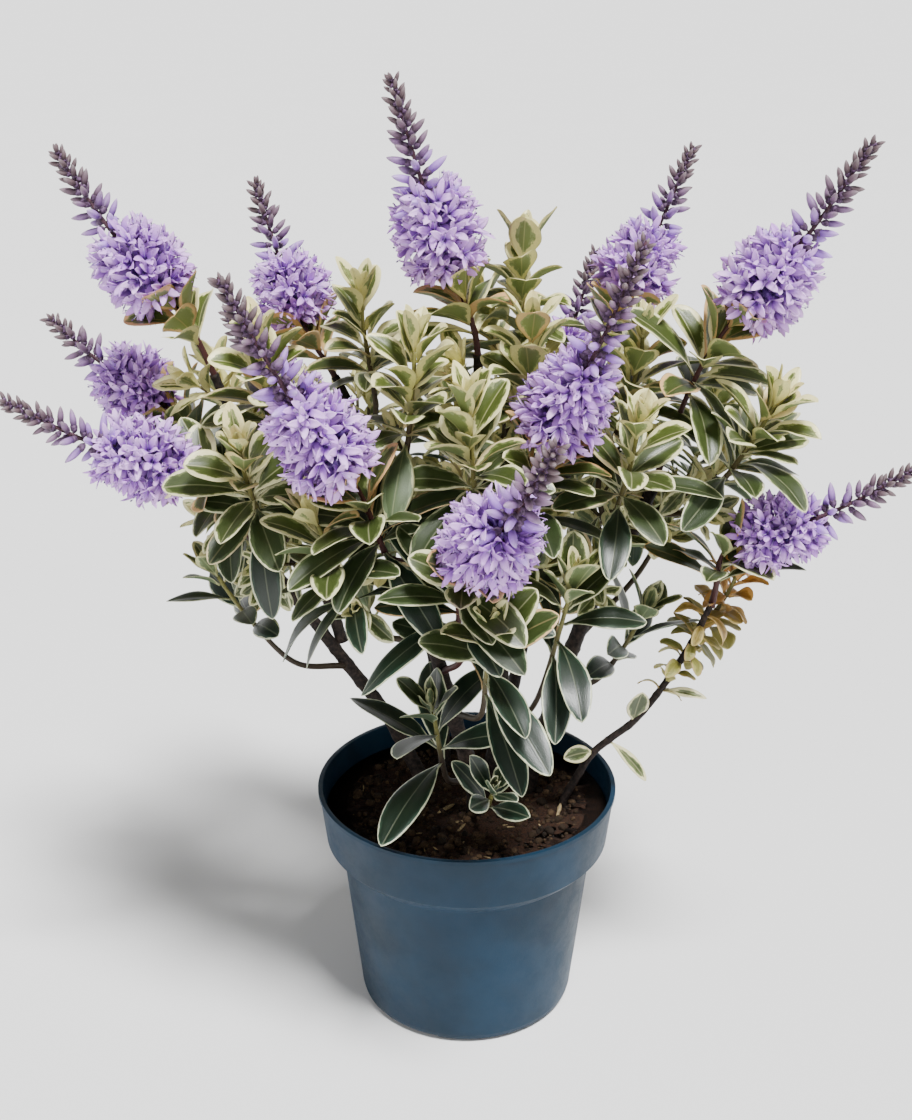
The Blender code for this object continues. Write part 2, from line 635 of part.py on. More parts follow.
class Leaf:
    """One leaf: a petiole from a face of the stem, and a thin blade in two lengths."""

    def __init__(self, face, along, length, width, tilt, droop, turn):
        face.normal_update()
        centre = face.calc_center_median()
        outward = Matrix.Rotation(turn, 3, along) @ face.normal
        outward = (outward - along * outward.dot(along)).normalized()
        self.side = along.cross(outward)
        self.along = along
        self.face_centre = centre
        self.outward = outward
        blade = length - PETIOLE
        widths = (PETIOLE_WIDTH, width, LEAF_TIP_WIDTH)
        reaches = (PETIOLE, blade * WIDEST_AT, blade * (1 - WIDEST_AT))
        angles = (tilt, tilt + 0.5 * droop, tilt + droop)
        self.sections = []
        for reach, angle, across in zip(reaches, angles, widths):
            direction = along * math.cos(angle) + outward * math.sin(angle)
            centre = centre + direction * reach
            above = along * math.sin(angle) - outward * math.cos(angle)
            self.sections.append((centre, above, direction, across))

    def corner(self, section, sideways, upward, spare):
        centre, above, _, across = section
        return (centre + self.side * sideways * (0.5 * across + spare)
                + above * upward * (0.5 * LEAF_THICKNESS + spare))

    def tree(self, spare, with_petiole):
        """The leaf as an overlap body, larger all round by a spare width."""
        sections = list(self.sections)
        centre, above, direction, across = sections[-1]
        sections[-1] = (centre + direction * spare, above, direction, across)
        if with_petiole:
            first = self.face_centre + self.outward * (0.6 * MM)
            sections.insert(0, (first, sections[0][1], sections[0][2], 0.7 * SHOOT_WIDTH))
        verts = []
        for section in sections:
            for sideways, upward in ((-1, -1), (1, -1), (1, 1), (-1, 1)):
                verts.append(self.corner(section, sideways, upward, spare))
        faces = [(0, 1, 2, 3)]
        for start in range(0, len(verts) - 4, 4):
            for index in range(4):
                after = (index + 1) % 4
                faces.append((start + index, start + after, start + 4 + after, start + 4 + index))
        last = len(verts) - 4
        faces.append((last, last + 1, last + 2, last + 3))
        low = Vector(min(vert[axis] for vert in verts) for axis in range(3))
        high = Vector(max(vert[axis] for vert in verts) for axis in range(3))
        return BVHTree.FromPolygons(verts, faces, epsilon=0), low, high

    def extrude(self, bm, face):
        signs = []
        for vert in face.verts:
            offset = vert.co - self.face_centre
            signs.append((math.copysign(1, offset.dot(self.side)), math.copysign(1, offset.dot(self.along))))
        for section in self.sections:
            corners = [self.corner(section, sideways, upward, 0) for sideways, upward in signs]
            face = extrude_face(bm, face, corners)


def shoot_path(stems, parent, share, tip, arriving, obstacles):
    """The first clear curve from the parent stem to the tip."""
    parent_path, parent_radii = stems[parent]
    start_gap = radius_along(parent_radii, share)
    for bow in (0, 0.12, -0.12, 0.24, -0.24, 0.36, -0.36, 0.5, -0.5):
        path = side_path(parent_path, start_gap, share, tip, bow, arriving)
        tested = path[2:-1]
        trial = swept_tree(tested, [0.75 * SHOOT_WIDTH] * len(tested), 4, 1.2 * MM)
        if not touches(trial, obstacles):
            return path
    print("no clear path", parent, share)
    return side_path(parent_path, start_gap, share, tip, 0, arriving)


def keep_out_tree(low, high):
    """A block that no leaf may enter."""
    bm = bmesh.new()
    base = [Vector((x, y, low.z)) for x, y in ((low.x, low.y), (high.x, low.y), (high.x, high.y), (low.x, high.y))]
    top = [Vector((corner.x, corner.y, high.z)) for corner in base]
    prism(bm, [base, top])
    tree = body_tree(bm)
    bm.free()
    return tree


def object_tree(item):
    """An overlap body from a finished object, modifiers included."""
    bm = bmesh.new()
    bm.from_object(item, bpy.context.evaluated_depsgraph_get())
    tree = body_tree(bm)
    bm.free()
    return tree


def build_plant(stems, ground):
    """Stems, then spikes, then every shoot's stem, then the leaves between them."""
    solid = {}
    for name, (path, radii) in stems.items():
        solid[name] = build_stem(name, path, radii)
    for name, (base, tip, open_share, size) in SPIKES.items():
        solid[name] = build_spike(name, base, tip, open_share, size)
    plans = {}
    for name, (spike, parent, share, pairs) in FLOWERING_SHOOTS.items():
        base, tip, _, _ = SPIKES[spike]
        foot = plant_point(*base)
        start = spike_path(base, tip)
        along = (start[1] - start[0]).normalized()
        plans[name] = (parent, share, foot - along * GAP, along, pairs, 1.0)
    for name, (parent, share, tip, pairs, size) in LEAFY_SHOOTS.items():
        plans[name] = (parent, share, plant_point(*tip), None, pairs, size)
    shoots = []
    for name, (parent, share, tip, arriving, pairs, size) in plans.items():
        path = shoot_path(stems, parent, share, tip, arriving, ground + list(solid.values()))
        shoot = Shoot(name, path, pairs, size)
        solid[name] = shoot.stem_tree
        shoots.append(shoot)
    grown = []
    for shoot in shoots:
        others = [tree for name, tree in solid.items() if name != shoot.name]
        shoot.grow_leaves(ground + others + grown)
        grown += shoot.leaf_trees
    for shoot in shoots:
        shoot.finish((0.23, 0.33, 0.13))
    return len(grown)


def main():
    for item in list(bpy.data.objects):
        bpy.data.objects.remove(item)
    stems = woody_paths()
    pot = build_pot()
    soil = build_soil(foot_cutter(stems))
    ground = [object_tree(pot), object_tree(soil)]
    for front, back in ((WATERING_FAR - RIM_RADIUS, WATERING_NEAR - RIM_RADIUS),
                        (RIM_RADIUS - WATERING_NEAR, RIM_RADIUS - WATERING_FAR)):
        low = Vector((-WATERING_HALF_WIDTH, front, SOIL_TOP))
        high = Vector((WATERING_HALF_WIDTH, back, POT_HEIGHT + 8 * MM))
        ground.append(keep_out_tree(low, high))
    front_low = Vector((-RIM_RADIUS, -3 * RIM_RADIUS, 0.5 * POT_HEIGHT))
    front_high = Vector((RIM_RADIUS, -RIM_RADIUS + 4 * MM, POT_HEIGHT + 14 * MM))
    ground.append(keep_out_tree(front_low, front_high))
    count = build_plant(stems, ground)
    print("leaves grown:", count)


main()
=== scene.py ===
"""Potted hebe: the fine leaves, flowers, stems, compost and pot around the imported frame.

Metres, +Z up, the plant's front faces -Y. Every piece rides on the one body and takes its place
from the CAD nodes: each shoot's stem and leaves, each spike's axis and each stem's path are read
back from the nodes' meshes.
"""
import math

import bmesh
import bpy
import numpy as np
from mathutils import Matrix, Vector, noise
from mathutils.bvhtree import BVHTree
from mathutils.kdtree import KDTree


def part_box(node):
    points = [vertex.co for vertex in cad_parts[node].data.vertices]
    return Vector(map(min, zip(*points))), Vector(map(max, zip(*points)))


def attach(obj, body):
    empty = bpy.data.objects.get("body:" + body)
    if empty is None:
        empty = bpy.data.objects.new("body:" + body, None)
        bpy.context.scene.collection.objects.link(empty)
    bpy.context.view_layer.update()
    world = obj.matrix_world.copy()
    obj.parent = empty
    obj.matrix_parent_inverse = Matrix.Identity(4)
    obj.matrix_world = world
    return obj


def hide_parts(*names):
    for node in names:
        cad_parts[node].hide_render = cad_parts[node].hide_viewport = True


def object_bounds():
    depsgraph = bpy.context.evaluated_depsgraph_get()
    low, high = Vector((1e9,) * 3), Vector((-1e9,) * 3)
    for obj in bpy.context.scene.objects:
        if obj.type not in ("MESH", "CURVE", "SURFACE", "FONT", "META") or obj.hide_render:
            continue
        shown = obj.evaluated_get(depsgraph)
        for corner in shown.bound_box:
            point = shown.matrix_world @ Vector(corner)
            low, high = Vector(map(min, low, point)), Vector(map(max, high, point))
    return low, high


MM = 0.001
WELD = 0.01 * MM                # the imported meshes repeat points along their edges
BLADE_THICKNESS = 0.85 * MM     # CAD edges shorter than this cross a leaf's thickness
WOOD_CORNERS = 8                # sides of the CAD woody stems and spikes
SHOOT_CORNERS = 4               # sides of the CAD shoots' stems
GOLDEN_ANGLE = math.pi * (3 - math.sqrt(5))

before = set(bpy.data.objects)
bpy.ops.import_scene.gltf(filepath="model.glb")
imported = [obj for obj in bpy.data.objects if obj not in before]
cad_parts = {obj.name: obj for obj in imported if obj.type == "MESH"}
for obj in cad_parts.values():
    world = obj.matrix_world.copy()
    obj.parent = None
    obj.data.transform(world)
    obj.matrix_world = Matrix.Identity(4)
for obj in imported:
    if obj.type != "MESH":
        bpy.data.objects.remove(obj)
cad_low, cad_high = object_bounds()
NODES = sorted(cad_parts)
WOODY = [name for name in NODES if name.startswith(("stem_", "branch_"))]
SPIKES = [name for name in NODES if name.startswith("flower_spike")]
SHOOTS = [name for name in NODES if name.startswith("shoot")]
WILTED = "shoot_wilted"
WILTED_STEM = "stem_right_low"
SOIL_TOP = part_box("soil")[1].z


# Reading the CAD nodes

def welded(node):
    """A node's mesh with its repeated points joined."""
    bm = bmesh.new()
    bm.from_mesh(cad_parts[node].data)
    bmesh.ops.remove_doubles(bm, verts=bm.verts, dist=WELD)
    bm.verts.index_update()
    return bm


def ordered(verts):
    return sorted(verts, key=lambda vert: vert.index)


def neighbours(verts):
    return {edge.other_vert(vert) for vert in verts for edge in vert.link_edges}


def rings_from(start, allowed):
    """The rings of points met one after another when walking away from a first ring."""
    seen, rings = set(start), [list(start)]
    while True:
        found = ordered((neighbours(rings[-1]) & allowed) - seen)
        if not found:
            return rings
        seen.update(found)
        rings.append(found)


def centre_of(verts):
    return sum((vert.co for vert in verts), Vector()) / len(verts)


def tube_line(node, key):
    """Centres and radii of a CAD tube's rings, from the end whose points have the lowest keys."""
    bm = welded(node)
    start = sorted(bm.verts, key=key)[:WOOD_CORNERS]
    rings = [ring for ring in rings_from(start, set(bm.verts)) if len(ring) == WOOD_CORNERS]
    centres = [centre_of(ring) for ring in rings]
    radii = [sum((vert.co - centre).length for vert in ring) / WOOD_CORNERS
             for ring, centre in zip(rings, centres)]
    bm.free()
    return centres, radii


def long_axis(node):
    """The direction in which a node is longest, pointing up."""
    bm = welded(node)
    points = np.array([vert.co for vert in bm.verts])
    bm.free()
    axis = Vector(np.linalg.svd(points - points.mean(0), full_matrices=False)[2][0])
    return axis if axis.z > 0 else -axis


def woody_tree():
    """Every woody stem's surface, to find where a shoot starts."""
    whole = bmesh.new()
    for node in WOODY:
        whole.from_mesh(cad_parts[node].data)
    tree = BVHTree.FromBMesh(whole)
    whole.free()
    return tree


class CadLeaf:
    """A leaf of a CAD shoot: its foot on the stem, and the blade's centres, sides and widths."""

    def __init__(self, verts, stem_verts, stem_points):
        near = [vert for vert in verts if neighbours([vert]) & stem_verts]
        self.foot = centre_of(ordered(neighbours(near) & stem_verts))
        self.along = stem_direction(stem_points, self.foot)
        self.centres, self.sides, self.widths = [], [], []
        for ring in rings_from(near, set(verts)):
            self.add_section(ring)
        reach = self.centres[-1] - self.foot
        self.length = reach.length
        self.outward = (reach - self.along * reach.dot(self.along)).normalized()

    def add_section(self, ring):
        """A section's two margins are the pairs of points that a short edge joins."""
        centre, first = centre_of(ring), ring[0]
        near = min(ring[1:], key=lambda vert: (vert.co - first.co).length)
        side = (first.co + near.co) / 2 - centre
        if self.sides and side.dot(self.sides[-1]) < 0:
            side = -side
        self.centres.append(centre)
        self.widths.append(2 * side.length)
        self.sides.append(side.normalized())


def stem_direction(points, place):
    """The direction of a stem where it passes nearest to a place."""
    nearest = min(range(len(points) - 1), key=lambda i: ((points[i] + points[i + 1]) / 2 - place).length)
    return (points[nearest + 1] - points[nearest]).normalized()


def read_shoot(node, wood):
    """A CAD shoot's stem line and its leaves, tip first."""
    bm = welded(node)
    blade = {vert for edge in bm.edges if edge.calc_length() < BLADE_THICKNESS for vert in edge.verts}
    stem = set(bm.verts) - blade
    start = sorted(stem, key=lambda vert: (wood.find_nearest(vert.co)[3], vert.index))[:SHOOT_CORNERS]
    points = [centre_of(ring) for ring in rings_from(start, stem) if len(ring) == SHOOT_CORNERS]
    leaves, left = [], set(blade)
    while left:
        first = min(left, key=lambda vert: vert.index)
        group = [vert for ring in rings_from([first], blade) for vert in ring]
        left -= set(group)
        leaves.append(CadLeaf(group, stem, points))
    bm.free()
    leaves.sort(key=lambda leaf: (points[-1] - leaf.foot).length)
    return points, leaves


# Lines and tubes

def unit(vectors):
    return vectors / np.linalg.norm(vectors, axis=-1, keepdims=True)


def between(ends, share):
    return ends[0] + (ends[1] - ends[0]) * share


def generator(name):
    """A random generator that gives a piece the same numbers each run."""
    return np.random.default_rng(list(name.encode()))


def smooth_line(points, count):
    """A smooth curve through points, as evenly spaced points."""
    knots = np.array(points, float)
    steps = np.linalg.norm(np.diff(knots, axis=0), axis=1)
    place = np.concatenate([[0], np.cumsum(steps)])
    slopes = np.gradient(knots, place, axis=0)
    at = np.linspace(0, place[-1], count)
    cell = np.clip(np.searchsorted(place, at, side="right") - 1, 0, len(steps) - 1)
    width = steps[cell][:, None]
    t = (at - place[cell])[:, None] / width
    start = (2 * t ** 3 - 3 * t ** 2 + 1) * knots[cell] + (t ** 3 - 2 * t ** 2 + t) * width * slopes[cell]
    end = (3 * t ** 2 - 2 * t ** 3) * knots[cell + 1] + (t ** 3 - t ** 2) * width * slopes[cell + 1]
    return start + end


def columns_at(places, knots, rows):
    """Rows of numbers read between their knots, column by column."""
    return np.stack([np.interp(places, knots, column) for column in np.transpose(rows)], -1)


def line_length(line):
    return float(np.linalg.norm(np.diff(line, axis=0), axis=1).sum())


def directions(line):
    return unit(np.gradient(line, axis=0))


def sunk(line, depth):
    """A line that starts this much deeper in the stem or compost that it grows from."""
    return np.concatenate([line[:1] - directions(line)[:1] * depth, line])


def across_axes(along):
    """Two axes across each direction."""
    first = unit(np.cross(along, (0.31, 0.87, -0.38)))
    return first, np.cross(along, first)


def turned_about(vector, axis, degrees):
    turn = math.radians(degrees)
    return vector * math.cos(turn) + np.cross(axis, vector) * math.sin(turn)


def tube(line, radii, sides, hint=(1, 0.3, 0.1)):
    """Rings of points round a line. The radii are one number, one a ring or one a point."""
    side = np.array(hint, float)
    angles = np.linspace(0, 2 * math.pi, sides, endpoint=False)
    radii = np.reshape(radii, (-1, 1)) if np.ndim(radii) < 2 else radii
    rings = []
    for centre, along, reach in zip(line, directions(line), np.broadcast_to(radii, (len(line), sides))):
        side = unit(side - along * side.dot(along))
        spokes = np.outer(np.cos(angles), side) + np.outer(np.sin(angles), np.cross(along, side))
        rings.append(centre + spokes * reach[:, None])
    return np.array(rings)


# Meshes

class Bag:
    """Lofted surfaces gathered into one mesh, each with its own cell on the map that a bake uses.

    Under each name that a material reads, a mesh holds three numbers a point.
    """

    MAP = "OFBake"
    CELL_EDGE = 0.04            # empty share of a cell along each of its edges
    CAP_SIZE = 0.02             # radius of an end face on the map

    def __init__(self):
        self.lofts = []
        self.point_count = self.loft_count = 0

    def add(self, rings, slots=0, **values):
        """Adds closed lofts (lofts, rings, points, 3). Slots are one material number or one a point."""
        rings = np.asarray(rings, float)
        if rings.ndim == 3:
            rings = rings[None]
        shape = count, stations, across = rings.shape[:3]
        corners, places, sizes, worn = self.pattern(stations, across, np.broadcast_to(slots, (across,)))
        starts = self.point_count + np.arange(count) * stations * across
        self.lofts.append({
            "points": rings.reshape(-1, 3),
            "corners": (corners[None] + starts[:, None]).ravel(),
            "places": np.tile(places, (count, 1)),
            "cells": np.repeat(self.loft_count + np.arange(count), len(corners)),
            "sizes": np.tile(sizes, count),
            "slots": np.tile(worn, count),
            "values": {key: np.stack([np.broadcast_to(part, shape).ravel() for part in value], 1)
                       for key, value in values.items()}})
        self.point_count += count * stations * across
        self.loft_count += count

    def pattern(self, stations, across, slots):
        """One loft's face corners, their places in its cell, the faces' sizes and materials."""
        ring, point = np.meshgrid(np.arange(stations - 1), np.arange(across), indexing="ij")
        after = (point + 1) % across
        quads = np.stack([ring * across + point, ring * across + after,
                          (ring + 1) * across + after, (ring + 1) * across + point], -1).reshape(-1)
        left, right = point / across, (point + 1) / across
        low, high = ring / (stations - 1), (ring + 1) / (stations - 1)
        places = np.stack([np.stack(place, -1) for place in (
            (left, low), (right, low), (right, high), (left, high))], 2).reshape(-1, 2)
        turn = np.arange(across) * 2 * math.pi / across
        rim = self.CAP_SIZE * np.stack([np.cos(turn), np.sin(turn)], 1)
        caps = np.arange(across)[::-1], (stations - 1) * across + np.arange(across)
        places = np.concatenate([places, rim + (0.5, self.CAP_SIZE), rim + (0.5, 1 - self.CAP_SIZE)])
        sizes = np.concatenate([np.full(ring.size, 4), [across, across]])
        worn = np.concatenate([np.tile(slots, stations - 1), [slots[0], slots[0]]])
        return np.concatenate([quads, *caps]), places, sizes, worn

    def joined(self, key, kind=np.int32):
        return np.concatenate([loft[key] for loft in self.lofts]).astype(kind)

    def map_places(self):
        """Each face corner's place on the map, with the lofts' cells side by side."""
        columns = math.ceil(math.sqrt(self.loft_count))
        rows = math.ceil(self.loft_count / columns)
        cells = self.joined("cells")
        inside = self.CELL_EDGE + (1 - 2 * self.CELL_EDGE) * self.joined("places", float)
        return (np.stack([cells % columns, cells // columns], 1) + inside) / (columns, rows)

    def settle(self, name, materials, slot, *nodes):
        """Makes the mesh and puts it in its place."""
        mesh = bpy.data.meshes.new(name)
        corners, sizes = self.joined("corners"), self.joined("sizes")
        mesh.vertices.add(self.point_count)
        mesh.vertices.foreach_set("co", self.joined("points", np.float32).ravel())
        mesh.loops.add(len(corners))
        mesh.loops.foreach_set("vertex_index", corners)
        mesh.polygons.add(len(sizes))
        mesh.polygons.foreach_set("loop_start", (np.cumsum(sizes) - sizes).astype(np.int32))
        for material in materials:
            mesh.materials.append(material)
        mesh.polygons.foreach_set("material_index", self.joined("slots"))
        mesh.update(calc_edges=True)
        mesh.shade_smooth()
        layer = mesh.uv_layers.new(name=self.MAP)
        layer.uv.foreach_set("vector", self.map_places().astype(np.float32).ravel())
        for key in sorted({key for loft in self.lofts for key in loft["values"]}):
            rows = [loft["values"].get(key, np.zeros_like(loft["points"])) for loft in self.lofts]
            attribute = mesh.attributes.new(key, "FLOAT_VECTOR", "POINT")
            attribute.data.foreach_set("vector", np.concatenate(rows).astype(np.float32).ravel())
        settle(linked(name, mesh), slot, *nodes)


def linked(name, data):
    """A new object in the scene."""
    thing = bpy.data.objects.new(name, data)
    bpy.context.scene.collection.objects.link(thing)
    return thing


def settle(thing, slot, *nodes):
    """Puts a piece on the plant's one body, in place of its CAD nodes."""
    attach(thing, "root")
    if nodes:
        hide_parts(*nodes)


# Material nodes

def colour(code):
    """A linear colour from a screen colour such as "8090a0"."""
    parts = [int(code[i:i + 2], 16) / 255 for i in (0, 2, 4)]
    linear = [part / 12.92 if part <= 0.04045 else ((part + 0.055) / 1.055) ** 2.4 for part in parts]
    return (*linear, 1)


class Value:
    """A node's output, with which sums are written as usual."""

    def __init__(self, graph, socket):
        self.graph, self.socket = graph, socket

    def __add__(self, other):
        return self.graph.maths("ADD", self, other)

    def __sub__(self, other):
        return self.graph.maths("SUBTRACT", self, other)

    def __rsub__(self, other):
        return self.graph.maths("SUBTRACT", other, self)

    def __mul__(self, other):
        return self.graph.maths("MULTIPLY", self, other)


class Graph:
    """A material's node tree, with short calls for the nodes that this script uses."""

    def __init__(self, name, roughness, specular=0.5):
        self.material = bpy.data.materials.new(name)
        self.material.use_nodes = True
        self.tree = self.material.node_tree
        self.shader = self.tree.nodes["Principled BSDF"]
        self.shade("Roughness", roughness)
        self.shade("Specular IOR Level", specular)

    def put(self, socket, value):
        """Joins a socket to a node's output, or sets it to a number, a list or a colour code."""
        if isinstance(value, Value):
            self.tree.links.new(value.socket, socket)
        else:
            socket.default_value = colour(value) if isinstance(value, str) else value

    def shade(self, name, value):
        self.put(self.shader.inputs[name], value)

    def node(self, kind, inputs, output=0, **settings):
        """A new node's output. Its inputs are values by their names or numbers."""
        node = self.tree.nodes.new("ShaderNode" + kind)
        for key, value in settings.items():
            setattr(node, key, value)
        for key, value in inputs.items():
            self.put(node.inputs[key], value)
        return Value(self, node.outputs[output])

    def maths(self, operation, *values):
        return self.node("Math", dict(enumerate(values)), operation=operation)

    def spread(self, value, low, high, first=0.0, last=1.0):
        """A smooth step from first to last as a value goes from low to high."""
        inputs = {"Value": value, "From Min": low, "From Max": high, "To Min": first, "To Max": last}
        return self.node("MapRange", inputs, "Result", interpolation_type="SMOOTHSTEP")

    def mix(self, share, first, second):
        """A colour between two colours."""
        return self.node("Mix", {0: share, 6: first, 7: second}, 2, data_type="RGBA")

    def fleck(self, body, grain, low, high, share, other):
        """A colour with another over it, by up to this share, as a grain goes from low to high."""
        return self.mix(self.spread(grain, low, high, 0.0, share), body, other)

    def parts(self, name):
        """The three numbers that a mesh holds under a name."""
        values = self.node("Attribute", {}, "Vector", attribute_name=name)
        split = self.node("SeparateXYZ", {0: values}).socket.node
        return [Value(self, output) for output in split.outputs]

    def vector(self, *parts):
        return self.node("CombineXYZ", dict(enumerate(parts)))

    def noise(self, scale, detail=3.0, vector=None, rough=0.55):
        """Noise from 0 to 1. Without a vector, the scale is in waves per metre."""
        vector = vector or self.node("TexCoord", {}, "Object")
        return self.node("TexNoise", {"Vector": vector, "Scale": scale, "Detail": detail, "Roughness": rough},
                         "Fac")

    def bump(self, height, distance, strength):
        inputs = {"Height": height, "Distance": distance * MM, "Strength": strength}
        self.shade("Normal", self.node("Bump", inputs))

    def paint(self, value):
        self.shade("Base Color", value)
        return self.material


def plain_surface(name, roughness, specular, scale, dark, light):
    """A surface that wavers between two close colours."""
    graph = Graph(name, roughness, specular)
    return graph.paint(graph.mix(graph.noise(scale), dark, light))


# Leaves

MARGIN_MATURE = 0.6             # width of an old leaf's cream margin, in mm
MARGIN_YOUNG = 2.75             # width of a young leaf's cream margin, in mm
MARGIN_SWING = (5.2, 1.6)       # how ragged a young and an old leaf's margin is
GREY_ZONE = 0.9                 # width of the grey-green zone inside the margin, in mm
LEAF_SIDES = {                  # young and old greens, greys and creams, the warm colour, the roughness
    "leaf_top": (("3a480c", "0a180b"), ("808a4e", "203528"), ("fcf2b2", "d2d6b2"), "cc9a60", 0.36),
    "leaf_under": (("66743c", "2a3e31"), ("808c58", "4a604c"), ("ded58c", "aab28e"), "c49a68", 0.55),
    "leaf_dry_top": (("8f5a1c", "6e6c26"), ("a8742e", "8f8c4a"), ("cc9648", "c8be7c"), "8a4e20", 0.5),
    "leaf_dry_under": (("946630", "827e40"), ("a87e44", "989258"), ("c49a58", "c0b67e"), "8a5a30", 0.6),
}


def leaf_surface(name):
    """A leaf's side: green centre, grey-green zone, cream margin and pale midrib."""
    greens, greys, creams, warm, roughness = LEAF_SIDES[name]
    graph = Graph(name, roughness)
    across, along, half = graph.parts("leaf_place")
    age, chance, warmth = graph.parts("leaf_kind")
    away = graph.maths("ABSOLUTE", across)
    from_margin, from_midrib = (1.0 - away) * half, away * half
    shift = chance * 57.0
    streaked = graph.vector(across * half + shift, along * 9.0, shift)
    ragged = graph.noise(0.55, 3.0, streaked) - 0.5
    width = graph.spread(age, 0.0, 0.85, (chance - 0.5) * 1.6 + MARGIN_YOUNG, MARGIN_MATURE)
    edge = ragged * graph.spread(age, 0.0, 1.0, *MARGIN_SWING) + width
    inner = edge + (ragged * 2.0 + GREY_ZONE)
    in_cream = 1.0 - graph.spread(from_margin, edge - 0.12, edge + 0.12)
    in_grey = 1.0 - graph.spread(from_margin, inner - 0.3, inner + 0.3)
    patches = graph.noise(1.6, 2.0, streaked)
    # Age darkens the leaf; for low and inner leaves part of this darkening is painted shade inside the crown.
    grey = graph.mix(age, *greys)
    green = graph.mix(patches * 0.35, graph.mix(age, *greens), grey)
    cream = graph.mix(patches * 0.4, graph.mix(age, *creams), grey)
    cream = graph.mix(warmth, cream, warm)
    body = graph.mix(in_cream, graph.mix(in_grey, green, grey), cream)
    rib = 1.0 - graph.spread(from_midrib, 0.12, 0.42)
    body = graph.mix(rib * graph.spread(age, 0.2, 1.0, 0.42, 0.2), body, graph.mix(0.4, cream, grey))
    veins = graph.noise(2.4, 2.0, graph.vector(from_midrib, along * 22.0 + shift, 0.0))
    graph.bump(veins + rib * -0.8, 0.12, 0.6)
    return graph.paint(body)


TOP_ACROSS = (1, 0.93, 0.62, 0.3, 0, -0.3, -0.62, -0.93, -1)
UNDER_ACROSS = (-0.85, -0.42, 0, 0.42, 0.85)
BLADE_STATIONS = 17
STALK_HALF = 0.75 * MM          # half the width of a leaf's foot
BLADE_TIP_HALF = 0.18 * MM
WIDEST_PLACE = 0.58             # where a leaf is widest, as a share of its length
BLADE_BODY = 0.42 * MM          # thickness at the midrib
KEEL = 0.45 * MM                # how far the midrib stands out below
YOUNG_FOLD = (22, 40)           # how far a leaf's halves fold up, in degrees
OLD_FOLD = (6, 18)


def half_widths(width, place):
    """Half a leaf's width along it: narrow at its foot, widest past the middle, with a blunt tip."""
    rise = np.sin(math.pi / 2 * np.clip(place / WIDEST_PLACE, 0, 1)) ** 1.2
    fall = 1 - np.clip((place - WIDEST_PLACE) / (1 - WIDEST_PLACE), 0, 1) ** 1.9
    body = width / 2 * rise * fall ** 0.62
    foot = STALK_HALF * (1 - place) ** 3
    return np.maximum(np.maximum(body, foot), BLADE_TIP_HALF)


def crowded(line, sides):
    """The same blade with its stations closer together towards its tip."""
    even = np.linspace(0, 1, len(line))
    place = 1 - (1 - even) ** 1.45
    return place, columns_at(place, even, line), columns_at(place, even, sides)


def add_blade(bag, line, sides, width, kind, rng):
    """Adds a leaf whose midrib follows a line. Kind is its age, chance and warmth."""
    place, line, sides = crowded(line, sides)
    along = directions(line)
    sides = unit(sides - along * (sides * along).sum(1, keepdims=True))
    twist = (rng.uniform(-0.12, 0.12) + rng.uniform(-0.5, 0.5) * place)[:, None]
    sides = np.cos(twist) * sides + np.sin(twist) * np.cross(along, sides)
    upper = np.cross(along, sides)
    half = half_widths(width, place)
    age = kind[0]
    fold = math.radians(rng.uniform(*YOUNG_FOLD) * (1 - age) + rng.uniform(*OLD_FOLD) * age)
    across = np.array(TOP_ACROSS + UNDER_ACROSS, float)
    on_top = np.array([1.0] * len(TOP_ACROSS) + [0.0] * len(UNDER_ACROSS))
    wave = rng.uniform(0.1, 0.45) * MM * np.sin(
        2 * math.pi * (place[:, None] * rng.uniform(1.2, 2.4) + rng.uniform(0, 1)) + (across > 0) * 1.9)
    lift = math.sin(fold) * (np.sqrt(across ** 2 + 0.015) - 0.12) - rng.uniform(0.02, 0.2) * across ** 4
    body = BLADE_BODY * (1 - 0.5 * place)[:, None] * np.sqrt(np.maximum(1 - across ** 2, 0))
    keel = KEEL * (1 - place)[:, None] * np.maximum(1 - np.abs(across) * 3, 0) * (1 - on_top)
    height = half[:, None] * lift + wave * across ** 2 + body * (on_top - 0.5) - keel
    out = half[:, None] * across * math.cos(fold)
    rings = line[:, None] + out[..., None] * sides[:, None] + height[..., None] * upper[:, None]
    slots = [0] * (len(TOP_ACROSS) - 1) + [1] * (len(UNDER_ACROSS) + 1)
    bag.add(rings, slots, leaf_place=(across[None, None], place[None, :, None], half[None, :, None] / MM),
            leaf_kind=kind)


def cad_blade(leaf):
    """A CAD leaf's midrib line and the sideways direction at each of its points."""
    line = smooth_line([leaf.foot, *leaf.centres], BLADE_STATIONS)
    knots = [0.0] + [(centre - leaf.foot).length / leaf.length for centre in leaf.centres]
    given = np.array([leaf.sides[0], *leaf.sides], float)
    sides = columns_at(np.linspace(0, 1, BLADE_STATIONS), knots, given)
    upper = np.cross(directions(line), sides).mean(0)
    return line, -sides if upper.dot(np.array(leaf.along - leaf.outward)) < 0 else sides


def grown_blade(foot, stem, outward, length, angle, bend):
    """A leaf that leaves the stem at an angle and bends away from it by a further angle."""
    turn = angle + bend * np.linspace(0, 1, BLADE_STATIONS)
    step = length / (BLADE_STATIONS - 1)
    moves = (np.cos(turn)[:, None] * stem + np.sin(turn)[:, None] * outward) * step
    line = foot + np.concatenate([np.zeros((1, 3)), np.cumsum(moves[:-1], 0)])
    return line, np.tile(np.cross(stem, outward), (BLADE_STATIONS, 1))


# Shoots

